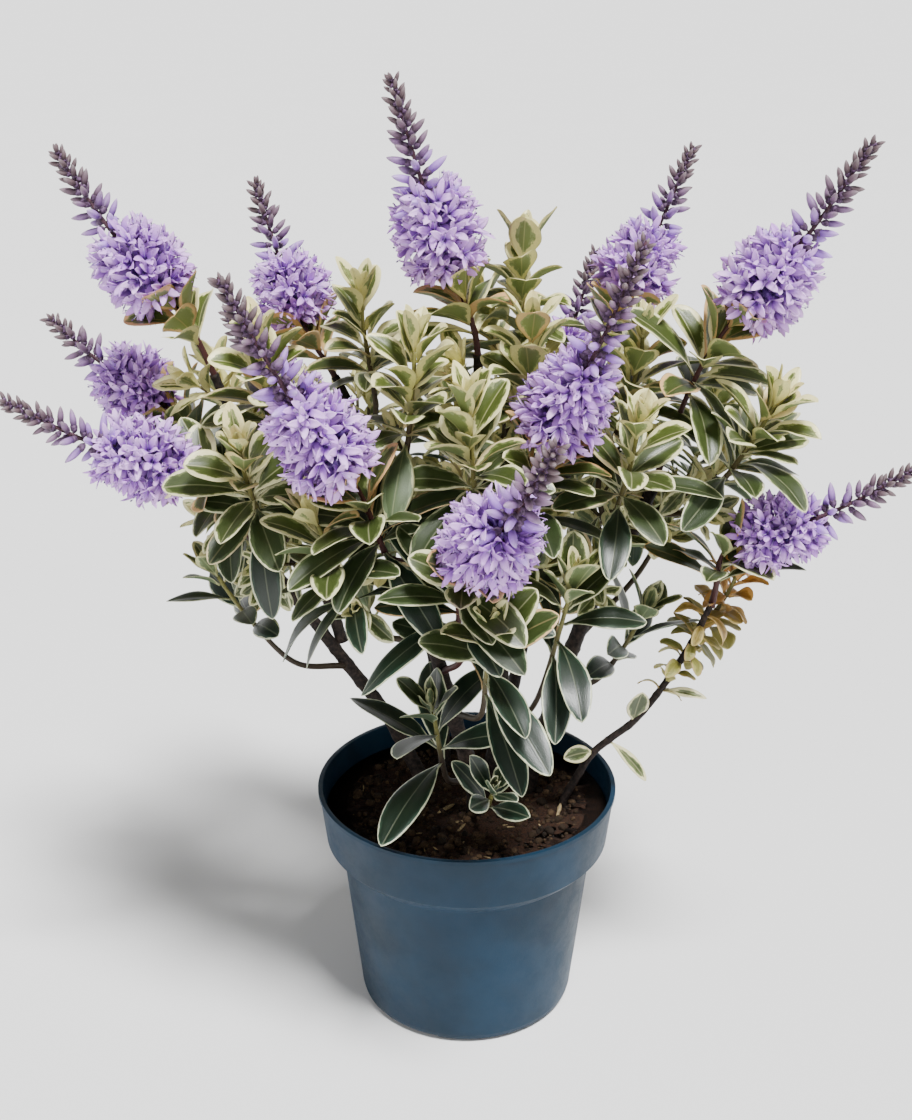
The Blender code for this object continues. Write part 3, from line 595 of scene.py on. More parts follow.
LIFT = 15                       # the youngest leaves stand this many degrees closer to the stem
SHORTER = 0.24                  # and are this much shorter
WIDER = 0.42                    # and this much wider than in the CAD model
YOUNG_SPREAD = (0.25, 1.1)      # how much of that a shoot's leaves show
SHOOT_LOWEST = 0.19             # side shoots on the shoots' bare stems start at this height
BETWEEN_LOWEST = 0.2            # no extra pairs of leaves grow below this height
CREAM_HEIGHT = 0.255            # leaves above this height are cream, those far below it dark: partly their age, partly painted shade inside the crown
STEM_STATIONS = 60
STEM_SIDES = 10
STEM_FOOT = 1.45 * MM           # a shoot stem's radius at its foot
STEM_TIP = 0.75 * MM            # and at its tip
JOINT_SWELL = 0.35              # how far the stem swells where a pair of leaves joins it
STEM_SUNK = 2.5 * MM            # length of a shoot's stem inside the stem that it grows from
TIP_PAIRS = (                   # length, width, angle, bend
    (20, 8.8, 30, 8), (16, 7.2, 19, -2), (11.5, 5.2, 9, -6), (6.5, 3.2, 5, -4))
TRIES = (0, 22, -22, 44, -44)   # turns about the stem, in degrees, that a new leaf tries
SIDE_SPACING = 8.5 * MM         # between the side shoots that fill a bare stem
SIDE_PAIRS = ((0.55, 22, 60), (0.85, 21, 44))   # share of the side shoot, length, angle
SIDE_ROOM = 4.5 * MM            # room that a side shoot's tip needs
DRY_SPACING = 4.6 * MM
DRY_LENGTHS = (10.5 * MM, 16.5 * MM)
DRY_WIDER = 0.8                 # the dry shoot's CAD leaves are this much wider
DRY_SHORTER = 0.4               # and this much shorter
DRY_TOP = 0.196                 # height of the lowest leaves that are all amber
DRY_FADE = 0.02                 # height over which they turn yellow-green
DRY_FOOT = 0.12                 # dry leaves grow beyond this share of the dry shoot
DRY_START = 0.64                # and beyond this share of the low right stem
LONE_FACE = (0.1, -0.85, 0.5)   # the way that the lone leaves face
LONE_LEAVES = (                 # share of the stem, way out, length, width, angle, bend
    (0.42, (1, -0.3, -0.5), 24, 5.6, 76, 24),
    (0.52, (-0.5, -0.4, 0.6), 18, 10.4, 40, -14),
    (0.66, (1, -0.3, -0.2), 20, 4.8, 50, 26),
    (0.36, (-1, -0.4, -0.3), 16, 8.2, 100, 34),
)


def leaf_age_and_shade(rank, height):
    """0 for the youngest, palest leaf, 1 for an old dark one. Rank counts leaves from the tip. Low and inner
    leaves are darkened partly by their age and partly as painted shade inside the crown.
    """
    return float(np.clip(0.02 + 0.09 * rank + (CREAM_HEIGHT - height) * 8.0, 0, 1))


def dry_age(height):
    """0 for the amber leaves at the top of the dry stem, 1 for the yellow-green ones low on it."""
    return float(np.clip((DRY_TOP - height) / DRY_FADE, 0, 1))


def shoot_stem(points, feet):
    """A shoot's round stem, sunk into its parent and swollen at each joint."""
    line = sunk(smooth_line(points, STEM_STATIONS), STEM_SUNK)
    radii = np.linspace(STEM_FOOT, STEM_TIP, len(line))
    for foot in feet:
        apart = np.linalg.norm(line - np.array(foot), axis=1)
        radii = radii * (1 + JOINT_SWELL / 2 * np.exp(-(apart / (1.3 * MM)) ** 2))
    return line, tube(line, radii, STEM_SIDES)


def tip_leaves(bag, tip, stem, outward, pairs, age, rng):
    """The small upright pairs that close a shoot's tip, each turned from the last."""
    other = np.cross(stem, outward)
    for number, (length, width, angle, bend) in enumerate(pairs):
        facing = (outward, other)[number % 2]
        foot = tip + stem * number * 1.1 * MM
        for sign in (1, -1):
            turn = math.radians(angle + rng.uniform(-6, 6))
            size = rng.uniform(0.86, 1.1)
            out = unit(facing * sign + np.cross(stem, facing) * rng.uniform(-0.2, 0.2))
            line, sides = grown_blade(foot + out * STEM_TIP * 0.6, stem, out, length * size * MM, turn,
                                      math.radians(bend + rng.uniform(-8, 8)))
            kind = (max(age - 0.08 * number, 0), rng.random(), 0.15 * (rng.random() < 0.2))
            add_blade(bag, line, sides, width * size * MM, kind, rng)


class Crowd:
    """Where leaves, stems and flowers already are, so that a new leaf can keep clear of them."""

    ROOM = 2.1 * MM
    OFFSETS = (-0.3, 0.0, 0.3)      # the midrib and the middle of a blade's halves

    def __init__(self):
        self.known, self.fresh, self.tree = [], [], None

    def add(self, points):
        self.fresh.append(np.asarray(points, float).reshape(-1, 3))

    def settle(self):
        """Takes what was added since the last call into the search tree."""
        self.known += self.fresh
        self.fresh = []
        points = np.concatenate(self.known)
        self.tree = KDTree(len(points))
        for number, point in enumerate(points):
            self.tree.insert(point, number)
        self.tree.balance()

    def nearest(self, point):
        near = self.tree.find(point)[2]
        for points in self.fresh:
            near = min(near, float(np.linalg.norm(points - point, axis=1).min()))
        return near

    def has_room(self, line, sides, width):
        """Whether a blade's outer part keeps clear of everything and stays inside the CAD box."""
        for share in (0.45, 0.7, 1.0):
            at = int(share * (len(line) - 1))
            for offset in self.OFFSETS:
                if self.nearest(line[at] + sides[at] * width * offset * (share < 1)) < self.ROOM:
                    return False
        low, high = np.array(cad_low) + 1 * MM, np.array(cad_high) - 1 * MM
        return bool(((line > low) & (line < high)).all())

    def add_blade(self, line, sides, width):
        for offset in self.OFFSETS:
            self.add((line + sides * width * offset)[3:])


def crowd_of_nodes(wood):
    """The CAD leaves, stems and spikes as a crowd of points."""
    crowd = Crowd()
    for node in SHOOTS:
        points, leaves = read_shoot(node, wood)
        crowd.add(smooth_line(points, STEM_STATIONS))
        for leaf in leaves:
            crowd.add_blade(*cad_blade(leaf), max(leaf.widths))
    for node in WOODY:
        centres, radii = tube_line(node, lambda vert: vert.co.z)
        crowd.add(tube(smooth_line(centres, WOOD_STATIONS), sum(radii) / len(radii), 6))
    for node in SPIKES:
        spike = SpikeLine(node)
        for share in (0.6, 0.9):
            crowd.add(tube(spike.line, share * spike.radius(np.linspace(0, 1, len(spike.line))), 14))
    crowd.settle()
    return crowd


def try_leaf(bag, crowd, foot, stem, outward, shape, kind, rng):
    """Adds a leaf near a wanted direction where it has room. Shape is length, width, angle, bend."""
    length, width, angle, bend = shape
    for turn in TRIES:
        out = turned_about(outward, stem, turn + rng.uniform(-8, 8))
        size = rng.uniform(0.85, 1.08)
        tilt = angle + math.radians(rng.uniform(-6, 6))
        line, sides = grown_blade(foot, stem, out, length * size, tilt, bend)
        if crowd.has_room(line, sides, width * size):
            add_blade(bag, line, sides, width * size, kind, rng)
            crowd.add_blade(line, sides, width * size)
            return


def joints_of(leaves):
    """A shoot's leaves grouped by the joint that they grow from, tip first."""
    joints = []
    for leaf in leaves:
        if joints and (joints[-1][0].foot - leaf.foot).length < 3.5 * MM:
            joints[-1].append(leaf)
        else:
            joints.append([leaf])
    return joints


def leaf_shape(leaf):
    """A leaf's length, width, angle from the stem and bend."""
    start = (leaf.centres[0] - leaf.foot).angle(leaf.along)
    end = (leaf.centres[2] - leaf.centres[1]).angle(leaf.along)
    return leaf.length, max(leaf.widths), start, end - start


def leaves_between(bag, crowd, leaves, rng, warm):
    """Leaves halfway between each two neighbouring joints of a shoot."""
    joints = [joint[0] for joint in joints_of(leaves)]
    for rank, (upper, lower) in enumerate(zip(joints, joints[1:])):
        stem = unit(np.array(upper.along + lower.along))
        foot = (np.array(upper.foot) + np.array(lower.foot)) / 2
        if foot[2] < BETWEEN_LOWEST:
            continue
        shape = np.array([leaf_shape(upper), leaf_shape(lower)]).mean(0)
        age = leaf_age_and_shade(2 * rank + 1, foot[2])
        shape *= (0.86 - SHORTER * (1 - age), 0.9 + WIDER * (1 - age), 1, 1)
        shape[2] -= math.radians(LIFT) * (1 - age)
        outward = np.array(upper.outward)
        outward = unit(outward - stem * stem.dot(outward))
        for turn in (45, 225, 135, 315)[:2 + 2 * (rank > 0)]:
            kind = (age, rng.random(), warm * (rng.random() < 0.3))
            try_leaf(bag, crowd, foot, stem, turned_about(outward, stem, turn), shape, kind, rng)


def side_shoots(bag, crowd, line, rng, lowest, size):
    """Short leafy side shoots along a bare stem, wherever there is room for one."""
    along = directions(line)
    count = int(line_length(line) / SIDE_SPACING)
    for share in (np.arange(count) + 0.5) / max(count, 1):
        at = int(share * (len(line) - 1))
        if line[at][2] < lowest:
            continue
        first, _ = across_axes(along[at])
        start = rng.uniform(0, 360)
        for turn in (0, 180, 90, 270):
            out = turned_about(first, along[at], start + turn)
            way = unit(out + along[at] * rng.uniform(0.5, 1.2) + np.array((0, 0, 0.35)))
            length = rng.uniform(7, 15) * MM * size
            tip = line[at] + way * length
            reach = tip + way * 12 * MM
            if min(crowd.nearest(tip), crowd.nearest(reach)) < SIDE_ROOM:
                continue
            stem = smooth_line([line[at], line[at] + way * length * 0.5, tip], 8)
            bag.add(tube(stem, np.linspace(0.9, 0.65, 8) * MM, 7), 2, stem_kind=(0.6, 0.6, 0.0))
            crowd.add(stem[3:])
            side_leaves(bag, crowd, stem, way, size, rng)


def side_leaves(bag, crowd, stem, way, size, rng):
    """The pairs of a side shoot: two open ones, then its closed tip."""
    axes = across_axes(way)
    for number, (share, length, angle) in enumerate(SIDE_PAIRS):
        foot = stem[0] + (stem[-1] - stem[0]) * share
        for sign in (1, -1):
            kind = (leaf_age_and_shade(2 - number, foot[2]), rng.random(), 0.5 * (rng.random() < 0.1))
            shape = (length * size * MM, 9.2 * size * MM, math.radians(angle), math.radians(14))
            try_leaf(bag, crowd, foot, way, axes[number] * sign, shape, kind, rng)
    pairs = [(length * 0.8, width * 0.8, angle, bend) for length, width, angle, bend in TIP_PAIRS[:3]]
    tip_leaves(bag, stem[-1], way, axes[0], pairs, leaf_age_and_shade(0, stem[-1][2]), rng)


def lifted(line, sides, stem, degrees, share):
    """A blade's midrib scaled from its foot and turned up towards the stem."""
    axis = unit(sides.mean(0))
    if np.cross(axis, line[-1] - line[0]).dot(stem) < 0:
        axis = -axis
    return line[0] + turned_about((line - line[0]) * share, axis, degrees)


def cad_leaves(bag, leaves, node, flowering, spread, rng):
    """A shoot's CAD leaves as blades. The young ones are more upright, shorter and broader."""
    for rank, leaf in enumerate(leaves):
        blade, sides = cad_blade(leaf)
        warm = 0.85 if flowering and rank < 5 and rng.random() < 0.6 else 0.7 * (rng.random() < 0.08)
        if node == WILTED:
            age, youth, wider, shorter = dry_age(leaf.foot.z), 0, DRY_WIDER, DRY_SHORTER
        else:
            age = leaf_age_and_shade(rank, leaf.foot.z)
            youth, wider, shorter = 1 - age, WIDER * (1 - age) * spread, SHORTER * (1 - age)
        blade = lifted(blade, sides, np.array(leaf.along), LIFT * youth * spread, 1 - shorter)
        add_blade(bag, blade, sides, max(leaf.widths) * (1 + wider), (age, rng.random(), warm), rng)


def build_shoot(node, wood, crowd, materials):
    """One leafy shoot with its stem, its CAD leaves, the leaves between them and its young tip."""
    points, leaves = read_shoot(node, wood)
    rng, bag = generator(node), Bag()
    line, rings = shoot_stem(points, [leaf.foot for leaf in leaves])
    flowering = node.replace("shoot", "flower_spike") in SPIKES
    spread = rng.uniform(*YOUNG_SPREAD)
    place = np.linspace(0, 1, len(line))
    height = np.clip((line[:, 2] - SOIL_TOP) / 0.2, 0, 1)
    bag.add(rings, 2, stem_kind=(place[None, :, None], height[None, :, None], float(flowering)))
    cad_leaves(bag, leaves, node, flowering, spread, rng)
    if not flowering:
        stem = directions(line)[-1]
        across = unit(np.cross(stem, np.array(leaves[0].outward)))
        tip_leaves(bag, line[-1], stem, across, TIP_PAIRS, leaf_age_and_shade(0, line[-1][2]), rng)
    if node == WILTED:
        dry_pairs(bag, line, DRY_FOOT, rng)
    else:
        leaves_between(bag, crowd, leaves, rng, 0.8 if flowering else 0.35)
        bare = line[:int(len(line) * bare_share(line, leaves))]
        if len(bare) > 6:
            side_shoots(bag, crowd, bare, rng, SHOOT_LOWEST, 0.9)
    crowd.settle()
    bag.settle(node + "_leaves", materials, "wilted_leaf" if node == WILTED else "leaf", node)


def dry_pairs(bag, line, start, rng):
    """Curled opposite pairs along a dry stem, beyond a share of its length."""
    along = directions(line)
    count = int(line_length(line) * (1 - start) / DRY_SPACING)
    for number in range(count):
        at = int((start + (1 - start) * (number + 0.5) / count) * (len(line) - 1))
        facing = across_axes(along[at])[number % 2]
        for sign in (1, -1):
            out = turned_about(facing * sign, along[at], rng.uniform(-25, 25))
            length = rng.uniform(*DRY_LENGTHS)
            angle, curl = math.radians(rng.uniform(35, 70)), math.radians(rng.uniform(30, 140))
            blade, sides = grown_blade(line[at], along[at], out, length, angle, curl)
            kind = (dry_age(line[at][2]), rng.random(), 0.6 * rng.random())
            add_blade(bag, blade, sides, length * rng.uniform(0.4, 0.56), kind, rng)


def lone_leaves(bag, line, rng):
    """The few separate leaves low on the dry stem."""
    along = directions(line)
    for share, way, length, width, angle, bend in LONE_LEAVES:
        at = int(share * (len(line) - 1))
        outward = unit(np.array(way) - along[at] * along[at].dot(way))
        blade, _ = grown_blade(line[at], along[at], outward, length * MM, *np.radians((angle, bend)))
        sides = np.cross(LONE_FACE, directions(blade))
        add_blade(bag, blade, sides, width * MM, (0.55, rng.random(), 0.1), rng)


def bare_share(line, leaves):
    """The share of a shoot's stem, from its foot, that has no CAD leaves."""
    lowest = np.array(leaves[-1].foot)
    return float(np.argmin(np.linalg.norm(line - lowest, axis=1)) / len(line))


# Flower spikes

FLORETS = 114
FLOWER_ZONE = (0.065, 0.375)    # where the florets grow, as shares of a spike's length
FLOWER_ANGLES = (107, 60)       # from the spike's axis, at the zone's two ends
WIDEST_SPIKE = 19.0 * MM        # radius of the widest spikes, whose florets are full size
DEPTHS = (1.04, 1.0, 0.96, 0.84, 0.72, 0.6)     # how far out florets open, as shares of the radius
LOBE_LENGTH = 8.6 * MM
LOBE_WIDTH = 3.05 * MM
LOBE_BODY = 0.24 * MM
LOBE_STATIONS = 8
LOBE_TOP = (1, 0.55, 0, -0.55, -1)
LOBE_UNDER = (-0.5, 0, 0.5)
LOBE_START = math.radians(14)   # a lobe's angle to its floret's axis at its foot
LOBE_CURL = math.radians(22)    # how much further its tip can turn
LOBE_REACH = 0.66               # share of a lobe's length that it adds to its floret's reach
HEAD_TAPER = 0.32               # how much closer to the stalk the highest florets open
TUBE_LENGTH = 5.0 * MM
TUBE_RADIUS = 0.85 * MM
CALYX_LENGTH = 2.9 * MM
BUD_ZONE = (0.345, 0.985)
BUD_ANGLES = (80, 42)
BUD_LENGTHS = (11.6 * MM, 4.2 * MM)
BUD_SLIMNESS = (0.31, 0.42)     # width as a share of the length, for the lowest and the top bud
BUD_STATIONS = 10
BUD_SIDES = 8
RACHIS_RADII = (1.25 * MM, 0.45 * MM)
RACHIS_STATIONS = 50


class SpikeLine:
    """A CAD spike's curved axis, and its radius along it."""

    def __init__(self, node):
        axis = long_axis(node)
        centres, radii = tube_line(node, lambda vert: vert.co.dot(axis))
        centres = np.array(centres)
        self.knots = np.concatenate([[0], np.cumsum(np.linalg.norm(np.diff(centres, axis=0), axis=1))])
        self.length, self.radii = self.knots[-1], np.array(radii)
        self.line = smooth_line(centres, RACHIS_STATIONS)
        self.along = directions(self.line)
        self.size = self.radii.max() / WIDEST_SPIKE

    def at(self, shares):
        """The axis's points and directions at shares of its length."""
        place = np.linspace(0, 1, len(self.line))
        return columns_at(shares, place, self.line), unit(columns_at(shares, place, self.along))

    def radius(self, share):
        return np.interp(share, self.knots / self.length, self.radii)


def each(numbers):
    """A number for each loft, in the shape that a bag's values have."""
    return numbers[:, None, None]


def about(ways, turn):
    """The direction across each way at a turn about it."""
    first, second = across_axes(ways)
    return np.cos(turn)[:, None] * first + np.sin(turn)[:, None] * second


def spiral(spike, shares, angles, start):
    """Points on a spike's axis at these shares, and directions that spiral round it at angles to it."""
    point, along = spike.at(shares)
    out = about(along, start + GOLDEN_ANGLE * np.arange(len(shares)))
    return point, out, np.cos(angles)[:, None] * along + np.sin(angles)[:, None] * out


def straight(starts, ways, lengths, stations):
    """Straight lines (lines, stations, 3)."""
    place = np.linspace(0, 1, stations)
    return starts[:, None] + place[None, :, None] * (ways * lengths[:, None])[:, None]


def turned(lines, ways, radii, sides):
    """Round tubes (lines, stations, sides, 3) about lines, with a radius a ring or a point."""
    first, second = across_axes(ways)
    angles = np.linspace(0, 2 * math.pi, sides, endpoint=False)
    spokes = np.cos(angles)[None, :, None] * first[:, None] + np.sin(angles)[None, :, None] * second[:, None]
    radii = radii if radii.ndim == 3 else radii[..., None]
    return lines[:, :, None] + radii[..., None] * spokes[:, None]


def add_lobes(bag, mouth, ways, size, chance, rng):
    """Four pointed lobes that open from each floret's mouth."""
    count = len(ways)
    place = np.linspace(0, 1, LOBE_STATIONS)
    open_end = np.radians(rng.uniform(22, 60, count))
    roll = rng.uniform(0, math.pi / 2, count)
    across = np.array(LOBE_TOP + LOBE_UNDER)
    on_top = np.array([1.0] * len(LOBE_TOP) + [0.0] * len(LOBE_UNDER))
    shape = (place + 0.06) ** 0.72 * (1 - place) ** 0.66
    shape = np.maximum(shape / shape.max(), 0.07)
    for number in range(4):
        out = about(ways, roll + number * math.pi / 2 + rng.uniform(-0.14, 0.14, count))
        length = LOBE_LENGTH * size * rng.uniform(0.88, 1.08, count)
        half = LOBE_WIDTH / 2 * size * rng.uniform(0.88, 1.1, count)
        end = open_end * rng.uniform(0.82, 1.15, count)
        angle = LOBE_START + (end[:, None] - LOBE_START) * (np.clip(place * 2.2, 0, 1) ** 0.8)
        angle = angle + LOBE_CURL * np.clip(place - 0.55, 0, 1) * rng.uniform(-0.6, 1.6, count)[:, None]
        along = np.cos(angle)[..., None] * ways[:, None] + np.sin(angle)[..., None] * out[:, None]
        upper = np.sin(angle)[..., None] * ways[:, None] - np.cos(angle)[..., None] * out[:, None]
        side = np.cross(upper, along)
        moves = along[:, :-1] * (length / (LOBE_STATIONS - 1))[:, None, None]
        line = mouth[:, None] + out[:, None] * TUBE_RADIUS * 0.8
        line = line + np.concatenate([np.zeros((count, 1, 3)), np.cumsum(moves, 1)], 1)
        width = half[:, None] * shape
        cup = rng.uniform(0.05, 0.4, count)[:, None, None]
        body = LOBE_BODY * np.sqrt(np.maximum(1 - across ** 2, 0.0)) * (on_top - 0.5)
        height = width[..., None] * cup * across ** 2 + body
        rings = (line[:, :, None] + (width[..., None] * across)[..., None] * side[:, :, None]
                 + height[..., None] * upper[:, :, None])
        bag.add(rings, 0, flower=(across[None, None], place[None, :, None], each(chance)))


def add_stamens(bag, mouth, ways, size, chance, rng):
    """Two thin stamens, each with its anther, that stand out of each floret."""
    first, second = across_axes(ways)
    for sign in (1, -1):
        lean = rng.uniform(0.25, 0.6, len(ways))[:, None] * sign
        way = unit(ways + first * lean + second * rng.uniform(-0.3, 0.3, len(ways))[:, None])
        length = rng.uniform(5.2, 7.2, len(ways)) * MM * size
        lines = straight(mouth, way, length, 3)
        radii = np.array([[0.16, 0.13, 0.11]]) * MM
        bag.add(turned(lines, way, radii, 4), 1, flower=(0.0, 0.5, each(chance)))
        anther = straight(lines[:, -1], unit(way + second * 0.4), np.full(len(ways), 1.1 * MM), 4)
        radii = np.array([[0.12, 0.36, 0.34, 0.1]]) * MM
        bag.add(turned(anther, way, radii, 5), 2, flower=(0.0, 1.0, each(chance)))


def add_florets(petals, stalks, spike, rng):
    """The open flowers: each has its own stalk, calyx, tube, lobes and stamens."""
    rank = (np.arange(FLORETS) + rng.uniform(-0.3, 0.3, FLORETS)) / FLORETS
    shares = between(FLOWER_ZONE, np.clip(rank, 0, 1))
    angles = between(np.radians(FLOWER_ANGLES), rank) + np.radians(rng.uniform(-9, 9, FLORETS))
    point, out, ways = spiral(spike, shares, angles, rng.uniform(0, 6))
    widest = spike.size * WIDEST_SPIKE
    size = spike.size * np.clip(1.05 - 0.3 * rank, 0.75, 1)
    reach = spike.radius(shares + np.cos(angles) * 0.5 * WIDEST_SPIKE / spike.length) / np.sin(angles)
    reach = np.clip(reach, 0.62 * widest, 1.04 * widest)
    reach = reach * (1 - HEAD_TAPER * np.clip(rank, 0, 1) ** 1.6)
    reach = reach * rng.choice(DEPTHS, FLORETS) * rng.uniform(0.95, 1.04, FLORETS)
    tube_length = TUBE_LENGTH * size
    calyx = CALYX_LENGTH * spike.size
    mouth = point + ways * (reach - LOBE_LENGTH * LOBE_REACH * size)[:, None]
    chance = rng.random(FLORETS)
    lines = straight(mouth - ways * tube_length[:, None], ways, tube_length, 4)
    flare = np.array([0.55, 0.8, 0.95, 1.25]) * TUBE_RADIUS
    petals.add(turned(lines, ways, flare * size[:, None], 8), 0,
               flower=(0.0, np.array([0.0, 0.0, 0.0, 0.05])[None, :, None], each(chance)))
    add_lobes(petals, mouth, ways, size[0], chance, rng)
    add_stamens(petals, mouth, ways, spike.size, chance, rng)
    foot = mouth - ways * (tube_length + 0.35 * calyx)[:, None]
    add_calyces(stalks, foot, ways, np.full(FLORETS, calyx), 1.0 * MM * size, chance, 2)
    inside = point + out * RACHIS_RADII[0] * 0.4
    add_pedicels(stalks, inside, foot + ways * 0.3 * MM, 0.42 * MM, chance, 2)


def add_calyces(bag, feet, ways, lengths, radii, chance, slot):
    """A small cup with four teeth round each foot."""
    lines = straight(feet, ways, lengths, 5)
    rings = turned(lines, ways, radii[:, None] * np.array([0.45, 0.95, 1.1, 1.2, 1.12]), BUD_SIDES)
    teeth = np.where(np.arange(BUD_SIDES) % 2, 0.0, -0.32) * lengths[:, None]
    rings[:, -1] += teeth[..., None] * ways[:, None]
    bag.add(rings, slot, flower=(0.0, np.linspace(0, 1, 5)[None, :, None], each(chance)))


def add_pedicels(bag, starts, ends, radius, chance, slot):
    """Thin stalks from the spike's own stalk to each calyx."""
    ways = ends - starts
    lines = straight(starts, unit(ways), np.linalg.norm(ways, axis=1), 4)
    rings = turned(lines, unit(ways), np.array([[1.5, 1, 0.95, 1.3]]) * radius, 6)
    bag.add(rings, slot, flower=(0.0, 0.5, each(chance)))


def bud_length(age):
    return between(BUD_LENGTHS, age ** 0.9)


def bud_shares(spike):
    """Where the buds grow: the smaller they are towards the tip, the closer they sit."""
    share, shares = BUD_ZONE[0], []
    while share < BUD_ZONE[1]:
        shares.append(share)
        length = bud_length((share - BUD_ZONE[0]) / (BUD_ZONE[1] - BUD_ZONE[0]))
        share += (0.2 * MM + 0.125 * length) / spike.length
    return np.array(shares)


def add_buds(buds, stalks, spike, rng):
    """The unopened buds, from the big lilac ones next to the flowers to the small dark ones at the tip."""
    shares = bud_shares(spike)
    count = len(shares)
    age = (shares - BUD_ZONE[0]) / (BUD_ZONE[1] - BUD_ZONE[0])
    angles = np.radians(between(BUD_ANGLES, age ** 1.2)) + np.radians(rng.uniform(-8, 8, count))
    point, out, ways = spiral(spike, shares, angles, rng.uniform(0, 6))
    length = bud_length(age) * spike.size ** 0.5 * rng.uniform(0.88, 1.1, count)
    chance = rng.random(count)
    radius = length * between(BUD_SLIMNESS, age) / 2
    foot = point + out * (RACHIS_RADII[0] * (1 - 0.6 * age))[:, None]
    foot = foot + ways * (2.4 * MM * (1 - age) ** 1.5)[:, None]
    place = np.linspace(0, 1, BUD_STATIONS)
    bend = place ** 2 * 0.08 * length[:, None]
    lines = straight(foot, ways, length, BUD_STATIONS) + spike.at(shares)[1][:, None] * bend[..., None]
    shape = np.maximum(np.sin(math.pi * (0.06 + 0.94 * place) ** 0.9) ** 0.6, 0.1)
    groove = 1 - 0.07 * (np.arange(BUD_SIDES) % 2)
    rings = turned(lines, ways, each(radius) * shape[None, :, None] * groove, BUD_SIDES)
    buds.add(rings, 0, bud=(each(age), place[None, :, None], each(chance)))
    add_calyces(stalks, foot - ways * (0.12 * length)[:, None], ways, length * 0.36, radius * 0.86, chance, 1)
    add_pedicels(stalks, point + out * RACHIS_RADII[1] * 0.4, foot, 0.36 * MM, chance, 0)


def build_spike(node, petal_materials, bud_materials, stalk_materials):
    """One flower spike, as its petals, its buds and its stalks."""
    spike, rng = SpikeLine(node), generator(node)
    petals, buds, stalks = Bag(), Bag(), Bag()
    radii = np.linspace(*RACHIS_RADII, len(spike.line))
    stalks.add(tube(spike.line, radii, 8), 0, flower=(0.0, 0.5, 0.5))
    add_florets(petals, stalks, spike, rng)
    add_buds(buds, stalks, spike, rng)
    petals.settle(node + "_petals", petal_materials, "petal", node)
    buds.settle(node + "_buds", bud_materials, "bud", node)
    stalks.settle(node + "_stalks", stalk_materials, "flower_stalk", node)


def petal_surface():
    """Lilac lobes: darker violet at the throat as painted shade of the flower's hollow, paler towards their
    tips, with faint lengthwise veins.
    """
    graph = Graph("petal_lilac", 0.55, 0.3)
    across, along, chance = graph.parts("flower")
    shade_and_vein_violet = graph.mix(chance, "8954b3", "a06ec3")
    pale = graph.mix(chance, "cc95e9", "e1b9f2")
    # Painted shade: the lobes and tube darken to violet towards the throat. The same violet colours the
    # veins.
    body = graph.mix(graph.spread(along, 0.0, 0.75), shade_and_vein_violet, pale)
    veins = graph.noise(2.2, 2.0, graph.vector(across * 2.6, along * 0.8, chance * 31.0))
    body = graph.fleck(body, veins, 0.45, 0.8, 0.3, shade_and_vein_violet)
    graph.bump(veins, 0.1, 0.5)
    graph.shade("Subsurface Weight", 0.2)
    graph.shade("Subsurface Radius", (0.6, 0.45, 0.8))
    graph.shade("Subsurface Scale", 1.2 * MM)
    return graph.paint(body)


def bud_surface():
    """Buds: violet near the flowers, dusty mauve further up and grey-mauve at the tip."""
    graph = Graph("bud_violet", 0.5, 0.35)
    age, along, chance = graph.parts("bud")
    older = age + (chance - 0.5) * 0.16
    side = graph.mix(graph.spread(older, 0.14, 0.5), "b284dc", "8c6c92")
    side = graph.mix(graph.spread(older, 0.3, 0.75), side, "645256")
    base = graph.mix(graph.spread(older, 0.1, 0.45), "754ca6", "352430")
    body = graph.mix(graph.spread(along, 0.1, 0.7), base, side)
    tip = graph.mix(graph.spread(older, 0.0, 0.5), "d2b8ee", "8f8286")
    body = graph.fleck(body, along, 0.62, 1.0, 0.6, tip)
    grain = graph.noise(1400.0)
    body = graph.fleck(body, grain, 0.45, 0.8, 0.25, base)
    graph.bump(grain, 0.12, 0.5)
    return graph.paint(body)


def stalk_surface(name, dark, light):
    graph = Graph(name, 0.6, 0.3)
    grain = graph.noise(1100.0)
    graph.bump(grain, 0.12, 0.6)
    return graph.paint(graph.mix(graph.spread(grain, 0.3, 0.7), dark, light))


# Woody stems

WOOD_STATIONS = 110
WOOD_SIDES = 18
WOOD_SUNK = 3 * MM
WOOD_FLARE = 0.22               # how much thicker a stem is at its foot
FLARE_LENGTH = 7 * MM
JOINT_SPACING = 9.5 * MM        # between the old leaf joints of a woody stem
JOINT_RIDGE = 0.13              # how far a joint stands out, as a share of the radius
SIDE_SHOOT_LOWEST = 0.195       # side shoots on the woody stems start at this height
WILTED_SLIMNESS = 0.78          # the low right stem has shrunk to this share of its CAD radius


